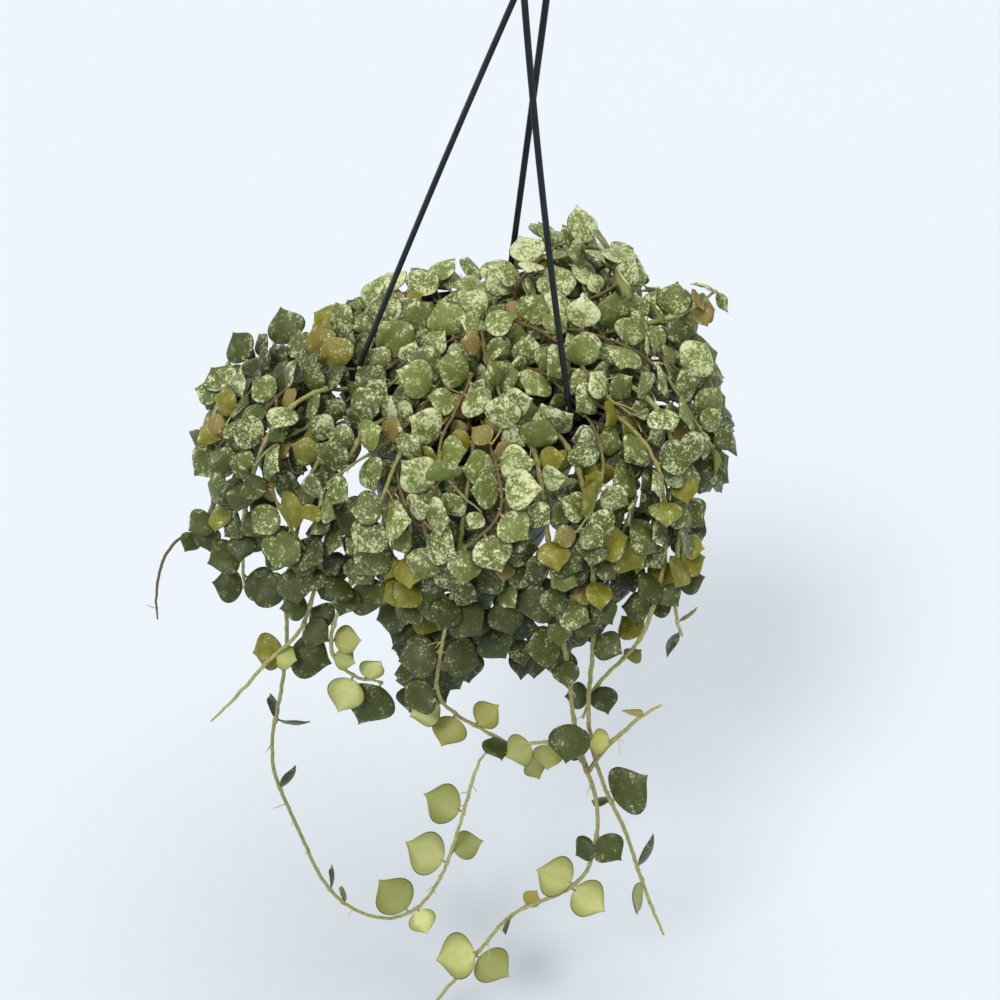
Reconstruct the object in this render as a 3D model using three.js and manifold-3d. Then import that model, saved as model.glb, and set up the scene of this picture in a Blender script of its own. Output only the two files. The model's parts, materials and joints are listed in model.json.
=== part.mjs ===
// A hanging pot of hoya curtisii: a thin-walled round pot, a one-piece hanger
// whose three arms meet in an open hook, the potting soil, and the vines that
// climb over the rim and trail below it. Millimetres, +Z up. The origin is the
// point inside the top of the hook where the whole thing hangs.

import * as THREE from 'three';
import { mergeVertices } from 'three/addons/utils/BufferGeometryUtils.js';
import Module from 'manifold-3d';

const wasm = await Module();
wasm.setup();

// Driving dimensions of the pot, with heights counted from the top of its rim

const POT_HEIGHT = 106;
const POT_TOP_RADIUS = 66.5;
const POT_BASE_RADIUS = 48;
const POT_WALL = 1.6;
const POT_FLOOR = 2;
const POT_SIDES = 28;
const RIM_RADIUS = 72.5;
const RIM_THICKNESS = 2;
const RIM_SKIRT_DEPTH = 9;
const RIM_EDGE = 1;
const DRAIN_HOLE_RADIUS = 4;
const DRAIN_HOLE_CIRCLE = 30;
const DRAIN_HOLE_COUNT = 4;
const DRAIN_HOLE_SIDES = 8;

// Driving dimensions of the hanger

const CLIP_RADIUS = 68.6;
const CLIP_AZIMUTHS = [200.6, 320.6, 80.6];
const ARM_BOWS = [1.6, -3.6, 0.2];
const ARM_WIDTH = 3.2;
const ARM_THICKNESS = 2.4;
const ARM_STEPS = 6;
const SLOT_PLAY = 0.45;
const CLIP_SHOULDER = { depth: 5, width: 8, height: 4 };
const CLIP_BELOW_RIM = 3;
const BARB_WIDTH = 5.6;
const HEAD = new THREE.Vector3(11.9, -1.5, 257);
const HEAD_ATTACH_RADIUS = 11;
const HEAD_TWIST = -137;
const HUB_RADIUS = 13.5;
const HUB_HEIGHT = 7;
const HUB_FLANGE = { below: 3, above: 2 };
const HUB_SIDES = 14;
const HOOK_WIRE_RADIUS = 2.3;
const HOOK_BEND_RADIUS = 12;
const HOOK_RISE = 34;
const HOOK_SIDES = 6;
const HOOK_STEPS = 20;

// Driving dimensions of the soil and of the plant

const GAP = 0.35;
const SOIL_TOP = -12;
const SOIL_EDGE_DROP = 3;
const SOIL_EDGE_WIDTH = 9;
const STEM_RADIUS = 1.15;
const STEM_FOOT_DEPTH = 12;
const STEM_STEP = 6;
const NODE_LENGTH = 2.2;
const BARE_STEP = 13;
const PATH_POINTS = 6;
const MOST_PAIRS = 24;
const HOLE_RADIUS = 2.9;
const LEAF_LENGTH = 22.5;
const LEAF_DOME = 1.5;
const LEAF_THICKEST = 0.4;
const LEAF_BELLY = 0.3;
const LEAF_ROOT = 2;
const LEAF_CLEARANCE = 0.3;
const LEAF_STEEPEST = 0.85;
const LEAF_TRIES = 22;
const LEAF_SPACING_FRONT = 12.5;
const LEAF_SPACING_BEHIND = 22;
const LEAF_SWAY = 0.5;
const PETIOLE_START = 1.2;
const STEM_KEEP_OUT = 0.45;
const CLIP_KEEP_OUT = 4.8;
const ARM_KEEP_OUT = 2;
const WINDOW_PULL = 0.5;

// The mound of foliage, told by what it measures in eight directions of the
// compass, 45 degrees apart from +X: how far it reaches from the pot's axis, how
// far below the rim it hangs, and how high it stands over the rim

const MOUND_REACH = [142, 117, 94, 104, 152, 134, 114, 126];
const MOUND_DROP = [100, 105, 110, 100, 120, 148, 172, 148];
const MOUND_RISE = [46, 76, 6, 6, 8, 16, 26, 20];
const MOUND_SHOULDER = [-36, 2, -12, -26, -46, -34, -22, -34];
const MOUND_CROWN = 34;
const MOUND_TUCK = 0.2;

// Vines by rule: four rings of them, the outer ones rooted further out and
// hanging lower. Each runs over the mound from one level to another. More of
// them go to the front, at 270 degrees.

const RINGS = [
  { name: 'heart', count: 5, foot: 7, from: 0.04, to: 0.5, depth: 2, first: 0.7, bare: 18, internode: 12 },
  { name: 'crown', count: 11, foot: 20, from: 0.18, to: 0.85, depth: 5, first: 0.3, bare: 22, internode: 12.5 },
  { name: 'shoulder', count: 14, foot: 33, from: 0.36, to: 1.4, depth: 8, first: 0.55, bare: 28, internode: 12.5 },
  { name: 'skirt', count: 16, foot: 48, from: 0.62, to: 2, depth: 12, first: 0.1, bare: 36, internode: 13.5 },
];
const FRONT = 270;
const FRONT_CROWDING = 1.16;
const STEM_CLEARANCE = 3.2;
const PATH_TRIES = 120;
const RIM_MIDDLE = 68;
const RIM_HALF_WIDTH = 12;
const RIM_CLEARANCE = 5;
const RIM_LIFT_DEPTH = 20;
const CLIP_CLEARANCE = 8;
const RING_SHORTENING = 0.14;

// Half of the spade-shaped leaf's outline, as [distance from the stem, half width]
// in parts of its length

const LEAF_OUTLINE = [[0.25, 0.35], [0.52, 0.47], [0.82, 0.24]];

// Trailing vines, each along points chosen by hand: the foot's compass angle and
// radius in the soil, the points that the stem follows, its side shoots, and its
// leaves. A leaf is [place along the points, direction of its tip, length, face]:
// the direction is in degrees as seen from the front and 43 above, 0 to the right
// and 90 upwards, and the face is 1 with the upper side in view, -1 with the
// underside in view and 0 edge on.

const UPPER = 1;
const UNDER = -1;
const EDGE = 0;

const TRAILING = [
  {
    name: 'trailing_left_tendril',
    foot: [196, 40],
    path: [[-52, -14, 2], [-72, -22, 9], [-100, -38, 2], [-118, -52, -32], [-128, -61, -60], [-143, -58, -83],
      [-153, -58, -91], [-162, -58, -107], [-168, -58, -134], [-169, -58, -158]],
    leaves: [[3.2, 150, 17, UPPER], [3.5, -60, 17, UPPER], [4.3, 200, 17, UPPER], [4.6, -80, 16, UPPER],
      [5.1, 250, 15, UPPER]],
    shoots: [],
  },
  {
    name: 'trailing_pale_shoot',
    foot: [232, 40],
    path: [[-38, -50, 4], [-50, -66, 10], [-62, -82, -10], [-70, -94, -60], [-79, -102, -104], [-97, -104, -131],
      [-113, -105, -159], [-130, -105, -186]],
    leaves: [[3.0, 175, 19, UPPER], [3.1, -15, 20, UPPER], [3.6, 190, 17, UPPER], [3.9, -20, 18, UPPER],
      [4.8, 10, 15, UNDER]],
    shoots: [],
  },
  {
    name: 'trailing_left_drop',
    foot: [209, 40],
    path: [[-58, -30, 3], [-80, -42, 10], [-101, -56, -6], [-112, -68, -42], [-115, -75, -84], [-112, -80, -106]],
    leaves: [[2.2, 160, 20, UPPER], [2.3, -25, 20, UPPER], [3.1, 190, 20, UPPER], [3.2, 5, 20, UPPER],
      [3.85, 208, 20, UPPER], [4.4, -20, 21, UPPER], [4.8, 180, 19, UPPER], [5.0, -75, 20, UPPER]],
    shoots: [],
  },
  {
    name: 'trailing_front_left',
    foot: [249, 40],
    path: [[-22, -54, 4], [-30, -72, 10], [-40, -92, -14], [-52, -102, -60], [-62, -102, -100], [-62, -99, -128],
      [-50, -96, -146], [-34, -93, -152]],
    leaves: [[2.3, 170, 22, UPPER], [2.4, -20, 22, UPPER], [3.1, 195, 22, UPPER], [3.2, -25, 22, UPPER],
      [4.0, 170, 20, UPPER], [4.4, 10, 17, UNDER], [4.9, -20, 14, UNDER], [5.9, -105, 22, UNDER],
      [6.3, 50, 17, UNDER], [6.9, -112, 28, UPPER]],
    shoots: [],
  },
  {
    name: 'trailing_front_low',
    foot: [271, 47],
    path: [[2, -56, 4], [3, -74, 10], [2, -96, -12], [0, -110, -56], [-4, -112, -104], [-4, -106, -140],
      [4, -98, -164], [18, -95, -178], [36, -95, -190], [54, -98, -196]],
    leaves: [[2.3, 190, 22, UPPER], [2.4, -10, 22, UPPER], [3.1, 215, 23, UPPER], [3.2, -35, 23, UPPER],
      [3.9, 200, 24, UPPER], [4.0, -15, 23, UPPER], [4.8, -140, 22, UPPER], [5.5, 205, 20, UNDER],
      [6.2, -105, 20, UNDER], [7.0, 45, 18, UNDER], [7.6, -75, 24, UPPER], [8.9, -15, 20, UNDER]],
    shoots: [],
  },
  {
    name: 'trailing_left_loop',
    foot: [222, 47],
    path: [[-44, -42, 3], [-60, -58, 8], [-76, -76, -12], [-84, -86, -50], [-88, -95, -88], [-88, -97, -128],
      [-92, -97, -167], [-97, -97, -207], [-96, -97, -240], [-88, -97, -271], [-80, -97, -300], [-68, -98, -338],
      [-52, -98, -365], [-28, -98, -376], [-8, -99, -361], [5, -100, -328], [12, -100, -290], [17, -100, -249],
      [22, -101, -206], [27, -104, -188]],
    leaves: [[3.35, 150, 22, UPPER], [3.4, 15, 22, UPPER], [4.1, 165, 24, UPPER], [4.12, -28, 24, UPPER],
      [5.0, 190, 26, UPPER], [5.02, -14, 26, UPPER], [6.55, 130, 19, EDGE], [6.6, 0, 20, EDGE],
      [8.4, 60, 17, EDGE], [8.5, -15, 24, EDGE], [11.4, 100, 18, EDGE], [11.9, 145, 16, EDGE],
      [13.8, 140, 29, UNDER], [14.1, -95, 21, UNDER], [15.6, 165, 29, UNDER], [15.9, 45, 23, UNDER],
      [16.9, 165, 26, UNDER]],
    shoots: [],
  },
  {
    name: 'trailing_long_front',
    foot: [296, 47],
    path: [[24, -52, 4], [34, -72, 10], [42, -92, -10], [52, -108, -52], [60, -113, -84], [66, -115, -112],
      [71, -115, -141], [80, -115, -174], [91, -115, -209], [95, -115, -242], [94, -113, -276], [88, -111, -299],
      [76, -110, -316], [62, -110, -328], [49, -110, -346], [39, -110, -374], [26, -110, -408], [12, -110, -447],
      [7, -110, -470]],
    leaves: [[3.0, 215, 22, UPPER], [3.2, -30, 22, UPPER], [4.0, 190, 22, UPPER], [4.3, -50, 20, UPPER],
      [6.0, -95, 24, UPPER], [9.0, -50, 22, UPPER], [9.2, 225, 16, UPPER], [11.0, 150, 27, UNDER],
      [11.2, -25, 26, UNDER], [13.1, 20, 15, UNDER], [13.7, 220, 16, EDGE], [15.3, 195, 29, UNDER],
      [15.45, -30, 27, UNDER], [17.6, 200, 12, UPPER]],
    shoots: [
      {
        from: 7.1,
        path: [[66, -118, -156], [55, -120, -158], [44, -121, -156]],
        leaves: [[1.6, -120, 19, UNDER], [2.4, -140, 19, UNDER]],
      },
      {
        from: 7.3,
        path: [[91, -113, -164], [102, -111, -147], [110, -110, -134], [117, -110, -127]],
        leaves: [[1.3, -160, 16, UNDER], [2.6, -160, 16, UNDER]],
      },
    ],
  },
  {
    name: 'trailing_right_front',
    foot: [312, 47],
    path: [[36, -44, 4], [50, -64, 10], [62, -82, -8], [71, -98, -50], [76, -105, -95], [78, -107, -133],
      [84, -107, -171], [97, -107, -211], [111, -107, -243], [124, -107, -281], [137, -107, -318],
      [149, -107, -348]],
    leaves: [[2.6, 20, 21, UPPER], [2.8, 200, 21, UPPER], [3.6, 215, 22, UPPER], [3.8, -40, 20, UPPER],
      [6.0, 250, 24, UPPER], [7.25, 68, 31, UPPER], [7.3, 215, 17, EDGE], [9.0, 80, 25, EDGE],
      [9.3, -65, 26, EDGE]],
    shoots: [],
  },
  {
    name: 'trailing_right_side',
    foot: [338, 44],
    path: [[50, -20, 4], [72, -34, 10], [96, -54, -2], [106, -66, -34], [108, -76, -62], [104, -84, -96],
      [97, -86, -116], [88, -88, -130], [81, -90, -146], [78, -92, -166]],
    leaves: [[4.2, -60, 17, UPPER], [4.6, 180, 17, UPPER], [5.3, 120, 18, UPPER], [6.2, 60, 14, UNDER],
      [7.6, -70, 19, UPPER], [8.1, 190, 15, UPPER]],
    shoots: [],
  },
  {
    name: 'trailing_right_loop',
    foot: [352, 34],
    path: [[42, -8, 6], [66, -16, 20], [96, -34, 14], [112, -52, -20], [116, -64, -60], [119, -70, -92],
      [126, -72, -112]],
    leaves: [[4.5, 20, 17, UPPER], [4.8, 200, 17, UPPER], [5.5, 30, 14, EDGE], [5.8, -95, 18, EDGE],
      [6.3, -60, 13, EDGE]],
    shoots: [],
  },
  {
    name: 'trailing_right_twig',
    foot: [18, 30],
    path: [[36, 12, 4], [54, 18, 16], [75, 22, 22], [95, 30, 24], [110, 36, 28], [123, 40, 40]],
    leaves: [[2.3, 100, 20, UPPER], [2.5, -60, 20, UPPER], [3.3, 80, 20, UPPER], [3.6, -80, 18, UPPER],
      [4.2, 100, 15, UPPER], [4.3, -75, 16, UPPER], [5.2, 165, 14, EDGE], [5.4, -60, 14, EDGE]],
    shoots: [],
  },
];

// Small helpers

const vec = (x, y, z) => new THREE.Vector3(x, y, z);
const radians = THREE.MathUtils.degToRad;

// A number from 0 to 1 that depends only on its three arguments
function draw(a, b, c) {
  const wave = Math.sin(a * 12.9898 + b * 78.233 + c * 37.719 + 1.3) * 4375.8545;
  return wave - Math.floor(wave);
}

// A point at a compass angle (0 is +X, 90 is +Y), a radius and a height
function polar(azimuth, radius, z) {
  return vec(radius * Math.cos(radians(azimuth)), radius * Math.sin(radians(azimuth)), z);
}

// Booleans on closed meshes

function toSolid(geometry) {
  const bare = geometry.clone();
  bare.deleteAttribute('normal');
  bare.deleteAttribute('uv');
  const merged = mergeVertices(bare, 1e-4);
  return new wasm.Manifold(new wasm.Mesh({
    numProp: 3,
    vertProperties: new Float32Array(merged.attributes.position.array),
    triVerts: new Uint32Array(merged.index.array),
  }));
}

function toGeometry(solid) {
  const mesh = solid.getMesh();
  const geometry = new THREE.BufferGeometry();
  geometry.setAttribute('position', new THREE.BufferAttribute(new Float32Array(mesh.vertProperties), 3));
  geometry.setIndex(new THREE.BufferAttribute(new Uint32Array(mesh.triVerts), 1));
  geometry.computeVertexNormals();
  return geometry;
}

function joined(geometries) {
  return geometries.map(toSolid).reduce((whole, next) => whole.add(next));
}

function cutFrom(solid, geometries) {
  return geometries.map(toSolid).reduce((whole, next) => whole.subtract(next), solid);
}

// Upright prism between two heights, with its axis at (x, y)
function post(x, y, low, high, radius, sides) {
  const geometry = new THREE.CylinderGeometry(radius, radius, high - low, sides);
  geometry.rotateX(Math.PI / 2);
  geometry.translate(x, y, (low + high) / 2);
  return geometry;
}

// Box given by its two sizes across, its heights and the compass angle that it faces
function block(azimuth, radius, depth, width, low, high) {
  const geometry = new THREE.BoxGeometry(depth, width, high - low);
  geometry.translate(radius, 0, (low + high) / 2);
  geometry.rotateZ(radians(azimuth));
  return geometry;
}

// Body of revolution about Z from a closed outline of [radius, height] points
function turned(outline, sides) {
  const points = outline.map(([radius, z]) => new THREE.Vector2(radius, z));
  const geometry = new THREE.LatheGeometry(points, sides);
  geometry.rotateX(Math.PI / 2);
  return geometry;
}

// Tube with a polygon section along a smooth curve
function tube(curve, section, steps) {
  return new THREE.ExtrudeGeometry(section, { steps, bevelEnabled: false, extrudePath: curve });
}

function polygonSection(radius, sides) {
  const corners = Array.from({ length: sides }, (unused, k) => {
    const angle = (2 * Math.PI * k) / sides;
    return new THREE.Vector2(radius * Math.cos(angle), radius * Math.sin(angle));
  });
  return new THREE.Shape(corners);
}

// Pot

function potRadius(z) {
  const t = Math.min(1, Math.max(0, -z / POT_HEIGHT));
  return POT_TOP_RADIUS + (POT_BASE_RADIUS - POT_TOP_RADIUS) * t;
}

function makePot() {
  const floor = -POT_HEIGHT + POT_FLOOR;
  const shell = turned([
    [0, -POT_HEIGHT],
    [POT_BASE_RADIUS, -POT_HEIGHT],
    [potRadius(-RIM_THICKNESS), -RIM_THICKNESS],
    [RIM_RADIUS - POT_WALL, -RIM_THICKNESS],
    [RIM_RADIUS - POT_WALL, -RIM_SKIRT_DEPTH],
    [RIM_RADIUS, -RIM_SKIRT_DEPTH],
    [RIM_RADIUS, -RIM_EDGE],
    [RIM_RADIUS - RIM_EDGE, 0],
    [potRadius(0) - POT_WALL, 0],
    [potRadius(floor) - POT_WALL, floor],
    [0, floor],
  ], POT_SIDES);
  const drains = Array.from({ length: DRAIN_HOLE_COUNT }, (unused, k) => {
    const place = polar((360 / DRAIN_HOLE_COUNT) * k, DRAIN_HOLE_CIRCLE, 0);
    return post(place.x, place.y, -POT_HEIGHT - 1, floor + 1, DRAIN_HOLE_RADIUS,
      DRAIN_HOLE_SIDES);
  });
  const slotDepth = ARM_THICKNESS + 2 * SLOT_PLAY;
  const slotWidth = ARM_WIDTH + 2 * SLOT_PLAY;
  const slots = CLIP_AZIMUTHS.map((azimuth) =>
    block(azimuth, CLIP_RADIUS, slotDepth, slotWidth, -RIM_THICKNESS - 1, 1));
  return toGeometry(cutFrom(toSolid(shell), [...drains, ...slots]));
}

// Hanger: each arm runs in a slightly bowed line from its clip to the hub

function armCurve(index) {
  const azimuth = CLIP_AZIMUTHS[index];
  const low = polar(azimuth, CLIP_RADIUS, 2);
  const high = polar(azimuth + HEAD_TWIST, HEAD_ATTACH_RADIUS, 0).add(HEAD);
  const control = low.clone().lerp(high, 0.5).add(polar(azimuth, 2 * ARM_BOWS[index], 0));
  return new THREE.QuadraticBezierCurve3(low, control, high);
}

function makeClip(azimuth) {
  const { depth, width, height } = CLIP_SHOULDER;
  const low = -RIM_THICKNESS - CLIP_BELOW_RIM;
  const shoulder = block(azimuth, CLIP_RADIUS, depth, width, GAP, height);
  const shank = block(azimuth, CLIP_RADIUS, ARM_THICKNESS, ARM_WIDTH, low, 1);
  const barb = block(azimuth, CLIP_RADIUS, ARM_THICKNESS, BARB_WIDTH, low, -RIM_THICKNESS - GAP);
  return [shoulder, shank, barb];
}

function hookCurve() {
  const top = HUB_HEIGHT + HOOK_RISE;
  const bend = HOOK_BEND_RADIUS;
  const points = [
    vec(0, 0, 0),
    vec(0, 0, HUB_HEIGHT + bend / 2),
    vec(bend * 0.75, 0, HUB_HEIGHT + bend * 1.25),
  ];
  for (let angle = -15; angle <= 200; angle += 35) {
    points.push(vec(bend * Math.cos(radians(angle)), 0, top - bend + bend * Math.sin(radians(angle))));
  }
  return new THREE.CatmullRomCurve3(points.map((point) => point.add(HEAD)));
}

// The wire's own radius is what lies between its axis and the hanging point
const HANGING_POINT = vec(HEAD.x, HEAD.y, HEAD.z + HUB_HEIGHT + HOOK_RISE - HOOK_WIRE_RADIUS);

function makeHanger() {
  const strip = new THREE.Shape([
    new THREE.Vector2(-ARM_THICKNESS / 2, -ARM_WIDTH / 2),
    new THREE.Vector2(ARM_THICKNESS / 2, -ARM_WIDTH / 2),
    new THREE.Vector2(ARM_THICKNESS / 2, ARM_WIDTH / 2),
    new THREE.Vector2(-ARM_THICKNESS / 2, ARM_WIDTH / 2),
  ]);
  const arms = CLIP_AZIMUTHS.map((unused, index) => tube(armCurve(index), strip, ARM_STEPS));
  const clips = CLIP_AZIMUTHS.flatMap(makeClip);
  const hub = turned([
    [0, -HUB_FLANGE.below],
    [HUB_RADIUS, -HUB_FLANGE.below],
    [HUB_RADIUS, HUB_FLANGE.above],
    [HOOK_WIRE_RADIUS + 1.5, HUB_HEIGHT],
    [0, HUB_HEIGHT],
  ], HUB_SIDES);
  hub.translate(HEAD.x, HEAD.y, HEAD.z);
  const hook = tube(hookCurve(), polygonSection(HOOK_WIRE_RADIUS, HOOK_SIDES), HOOK_STEPS);
  return toGeometry(joined([hub, hook, ...arms, ...clips]));
}

function around(values, azimuth) {
  const turn = (((azimuth % 360) + 360) % 360) / 45;
  const first = Math.floor(turn);
  const blend = 0.5 - 0.5 * Math.cos(Math.PI * (turn - first));
  return values[first % 8] * (1 - blend) + values[(first + 1) % 8] * blend;
}

// A point of the mound: level 0 is its crown, 1 its widest line and 2 its hem
function mound(azimuth, level, depth) {
  const reach = around(MOUND_REACH, azimuth);
  const drop = around(MOUND_DROP, azimuth);
  const shoulder = around(MOUND_SHOULDER, azimuth);
  if (level <= 1) {
    const slope = (Math.PI / 2) * level;
    const rise = MOUND_CROWN + (around(MOUND_RISE, azimuth) - MOUND_CROWN) * Math.min(1, level / 0.4);
    const z = rise * Math.cos(slope) + shoulder * (1 - Math.cos(slope));
    return polar(azimuth, reach * Math.sin(slope) - depth * Math.sin(slope), z - depth * Math.cos(slope));
  }
  const fall = level - 1;
  const radius = reach * (1 - MOUND_TUCK * fall * fall) - depth;
  return polar(azimuth, radius, shoulder + (-drop - shoulder) * fall);
}

function ringPath(ring, ringIndex, index, attempt) {
  const seed = 100 * (ringIndex + 1) + index;
  const spread = (2 * (index + ring.first)) / ring.count - 1;
  const crowded = Math.sign(spread) * Math.abs(spread) ** FRONT_CROWDING;
  const wander = (k) => draw(seed, k, attempt) - 0.5;
  const azimuth = FRONT + 180 * crowded + (5 + attempt) * wander(1);
  const foot = ring.foot + 6 * wander(2);
  const depth = ring.depth + 6 * wander(3);
  const drift = (34 + attempt) * wander(4);
  const end = ring.to - RING_SHORTENING * (ring.to - ring.from) * draw(seed, 5, attempt);
  const points = [
    polar(azimuth, foot, SOIL_TOP - STEM_FOOT_DEPTH),
    polar(azimuth, foot, SOIL_TOP),
    polar(azimuth, foot + 1.5, SOIL_TOP + 9),
  ];
  for (let k = 0; k < PATH_POINTS; k += 1) {
    const t = k / (PATH_POINTS - 1);
    const sway = drift * t * t + 8 * Math.sin(4 * t + 6 * draw(seed, 6, attempt));
    points.push(mound(azimuth + sway, ring.from + (end - ring.from) * t, depth));
  }
  return points;
}

// A smooth line through the points (uniform Catmull-Rom), cut in equal steps

function smoothLine(points, step) {
  const count = points.length;
  const at = (k) => {
    if (k < 0) return points[0].clone().multiplyScalar(2).sub(points[1]);
    if (k >= count) return points[count - 1].clone().multiplyScalar(2).sub(points[count - 2]);
    return points[k];
  };
  const fine = [];
  for (let k = 0; k < count - 1; k += 1) {
    for (let j = 0; j < 8; j += 1) fine.push(catmull(at(k - 1), at(k), at(k + 1), at(k + 2), j / 8));
  }
  fine.push(points[count - 1].clone());
  return overRim(evenly(fine, step));
}

// Where a line passes the rim it is lifted clear of it
function overRim(line) {
  return line.map((point) => {
    const over = Math.abs(Math.hypot(point.x, point.y) - RIM_MIDDLE) < RIM_HALF_WIDTH;
    const low = point.z > -RIM_LIFT_DEPTH && point.z < RIM_CLEARANCE;
    return over && low ? vec(point.x, point.y, RIM_CLEARANCE) : point;
  });
}

function catmull(a, b, c, d, t) {
  const wa = -0.5 * t * t * t + t * t - 0.5 * t;
  const wb = 1.5 * t * t * t - 2.5 * t * t + 1;
  const wc = -1.5 * t * t * t + 2 * t * t + 0.5 * t;
  const wd = 0.5 * t * t * t - 0.5 * t * t;
  return vec(0, 0, 0).addScaledVector(a, wa).addScaledVector(b, wb).addScaledVector(c, wc)
    .addScaledVector(d, wd);
}

function lengths(line) {
  const sums = [0];
  for (let k = 1; k < line.length; k += 1) sums.push(sums[k - 1] + line[k].distanceTo(line[k - 1]));
  return sums;
}

function pointAlong(line, sums, distance) {
  let k = 1;
  while (k < line.length - 1 && sums[k] < distance) k += 1;
  const t = (distance - sums[k - 1]) / (sums[k] - sums[k - 1]);
  return line[k - 1].clone().lerp(line[k], t);
}

function evenly(line, step) {
  const sums = lengths(line);
  const total = sums[sums.length - 1];
  const count = Math.max(2, Math.round(total / step));
  return Array.from({ length: count + 1 }, (unused, k) => pointAlong(line, sums, (total * k) / count));
}

function segmentDistance(a, b, c, d) {
  const u = b.clone().sub(a);
  const v = d.clone().sub(c);
  const w = a.clone().sub(c);
  const uu = u.dot(u);
  const uv = u.dot(v);
  const vv = v.dot(v);
  const uw = u.dot(w);
  const vw = v.dot(w);
  const clamp = (x) => Math.min(1, Math.max(0, x));
  const bend = uu * vv - uv * uv;
  let s = bend > 1e-9 ? clamp((uv * vw - vv * uw) / bend) : 0;
  const t = clamp((uv * s + vw) / vv);
  s = clamp((uv * t - uw) / uu);
  return a.clone().addScaledVector(u, s).distanceTo(c.clone().addScaledVector(v, t));
}

function linesClear(lineA, lineB, clearance) {
  for (let i = 1; i < lineA.length; i += 1) {
    for (let j = 1; j < lineB.length; j += 1) {
      if (lineA[i].distanceTo(lineB[j]) > 2 * STEM_STEP + 60) continue;
      if (segmentDistance(lineA[i - 1], lineA[i], lineB[j - 1], lineB[j]) < clearance) return false;
    }
  }
  return true;
}

// Growing: every stem first, each clear of the others and of the hanger's arms,
// then the leaves one pair after another, each kept only where there is room

function footPoints([azimuth, radius]) {
  return [
    polar(azimuth, radius, SOIL_TOP - STEM_FOOT_DEPTH),
    polar(azimuth, radius, SOIL_TOP),
  ];
}

function splineAt(points, place) {
  const k = Math.min(points.length - 2, Math.floor(place));
  const before = k > 0 ? points[k - 1] : points[0].clone().multiplyScalar(2).sub(points[1]);
  const last = points[points.length - 1];
  const after = k + 2 < points.length ? points[k + 2]
    : last.clone().multiplyScalar(2).sub(points[points.length - 2]);
  return catmull(before, points[k], points[k + 1], after, place - k);
}

function growStems() {
  const arms = CLIP_AZIMUTHS.map((azimuth, index) =>
    [polar(azimuth, CLIP_RADIUS, -6), ...armCurve(index).getPoints(ARM_STEPS)]);
  const clips = CLIP_AZIMUTHS.map((azimuth) => polar(azimuth, CLIP_RADIUS, CLIP_SHOULDER.height / 2));
  const stems = [];
  for (const vine of TRAILING) {
    const points = [...footPoints(vine.foot), ...vine.path.map((point) => vec(...point))];
    const shoots = vine.shoots.map((shoot) => {
      const own = [splineAt(points, shoot.from + 2), ...shoot.path.map((point) => vec(...point))];
      return { points: own, line: smoothLine(own, STEM_STEP), leaves: shoot.leaves };
    });
    const line = smoothLine(points, STEM_STEP);
    stems.push({ name: vine.name, points, line, leaves: vine.leaves, shoots });
  }
  RINGS.forEach((ring, ringIndex) => {
    for (let index = 0; index < ring.count; index += 1) {
      const others = stems.flatMap((stem) => [stem.line, ...stem.shoots.map((shoot) => shoot.line)]);
      for (let attempt = 0; attempt < PATH_TRIES; attempt += 1) {
        const points = ringPath(ring, ringIndex, index, attempt);
        const line = smoothLine(points, STEM_STEP);
        if (arms.some((arm) => !linesClear(arm, line, STEM_CLEARANCE + 1))) continue;
        if (clips.some((clip) => line.some((point) => point.distanceTo(clip) < CLIP_CLEARANCE))) continue;
        if (others.some((other) => !linesClear(other, line, STEM_CLEARANCE))) continue;
        const name = `${ring.name}_${String(index + 1).padStart(2, '0')}`;
        const seed = 100 * (ringIndex + 1) + index;
        stems.push({ name, seed, points, line, bare: ring.bare, internode: ring.internode, shoots: [] });
        break;
      }
    }
  });
  return stems;
}

function leafPoints(leaf) {
  const { base, along, normal, length } = leaf;
  const across = normal.clone().cross(along);
  const place = (u, v, w) => base.clone().addScaledVector(along, u * length)
    .addScaledVector(across, v * length).addScaledVector(normal, w);
  return {
    rim: [...LEAF_OUTLINE.map(([u, v]) => place(u, v, 0)), place(1, 0, 0),
      ...LEAF_OUTLINE.map(([u, v]) => place(u, -v, 0)).reverse()],
    top: place(LEAF_THICKEST, 0, LEAF_DOME),
    across,
  };
}

// A vine is one closed skin: a three-sided stem whose rings follow its line, and
// leaves that grow out of its side faces, two close rings at each pair of leaves

function directionAlong(line, sums, distance) {
  const total = sums[sums.length - 1];
  const ahead = pointAlong(line, sums, Math.min(total, distance + 3));
  return ahead.sub(pointAlong(line, sums, Math.max(0, distance - 3))).normalize();
}

// Side directions carried along the line without twist, one at each of its points
function carriedSides(line, sums) {
  let side = vec(1, 0, 0);
  return line.map((unused, k) => {
    const tangent = directionAlong(line, sums, sums[k]);
    side = side.clone().addScaledVector(tangent, -side.dot(tangent)).normalize();
    return side;
  });
}

function ringAt(part, distance) {
  const { line, sums, sides } = part;
  const tangent = directionAlong(line, sums, distance);
  let k = 0;
  while (k < sums.length - 2 && sums[k + 1] < distance) k += 1;
  const side = sides[k].clone().addScaledVector(tangent, -sides[k].dot(tangent)).normalize();
  const other = tangent.clone().cross(side);
  const centre = pointAlong(line, sums, distance);
  const corners = [0, 1, 2].map((corner) => centre.clone()
    .addScaledVector(side, STEM_RADIUS * Math.cos((2 * Math.PI * corner) / 3))
    .addScaledVector(other, STEM_RADIUS * Math.sin((2 * Math.PI * corner) / 3)));
  return { distance, centre, corners };
}

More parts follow.
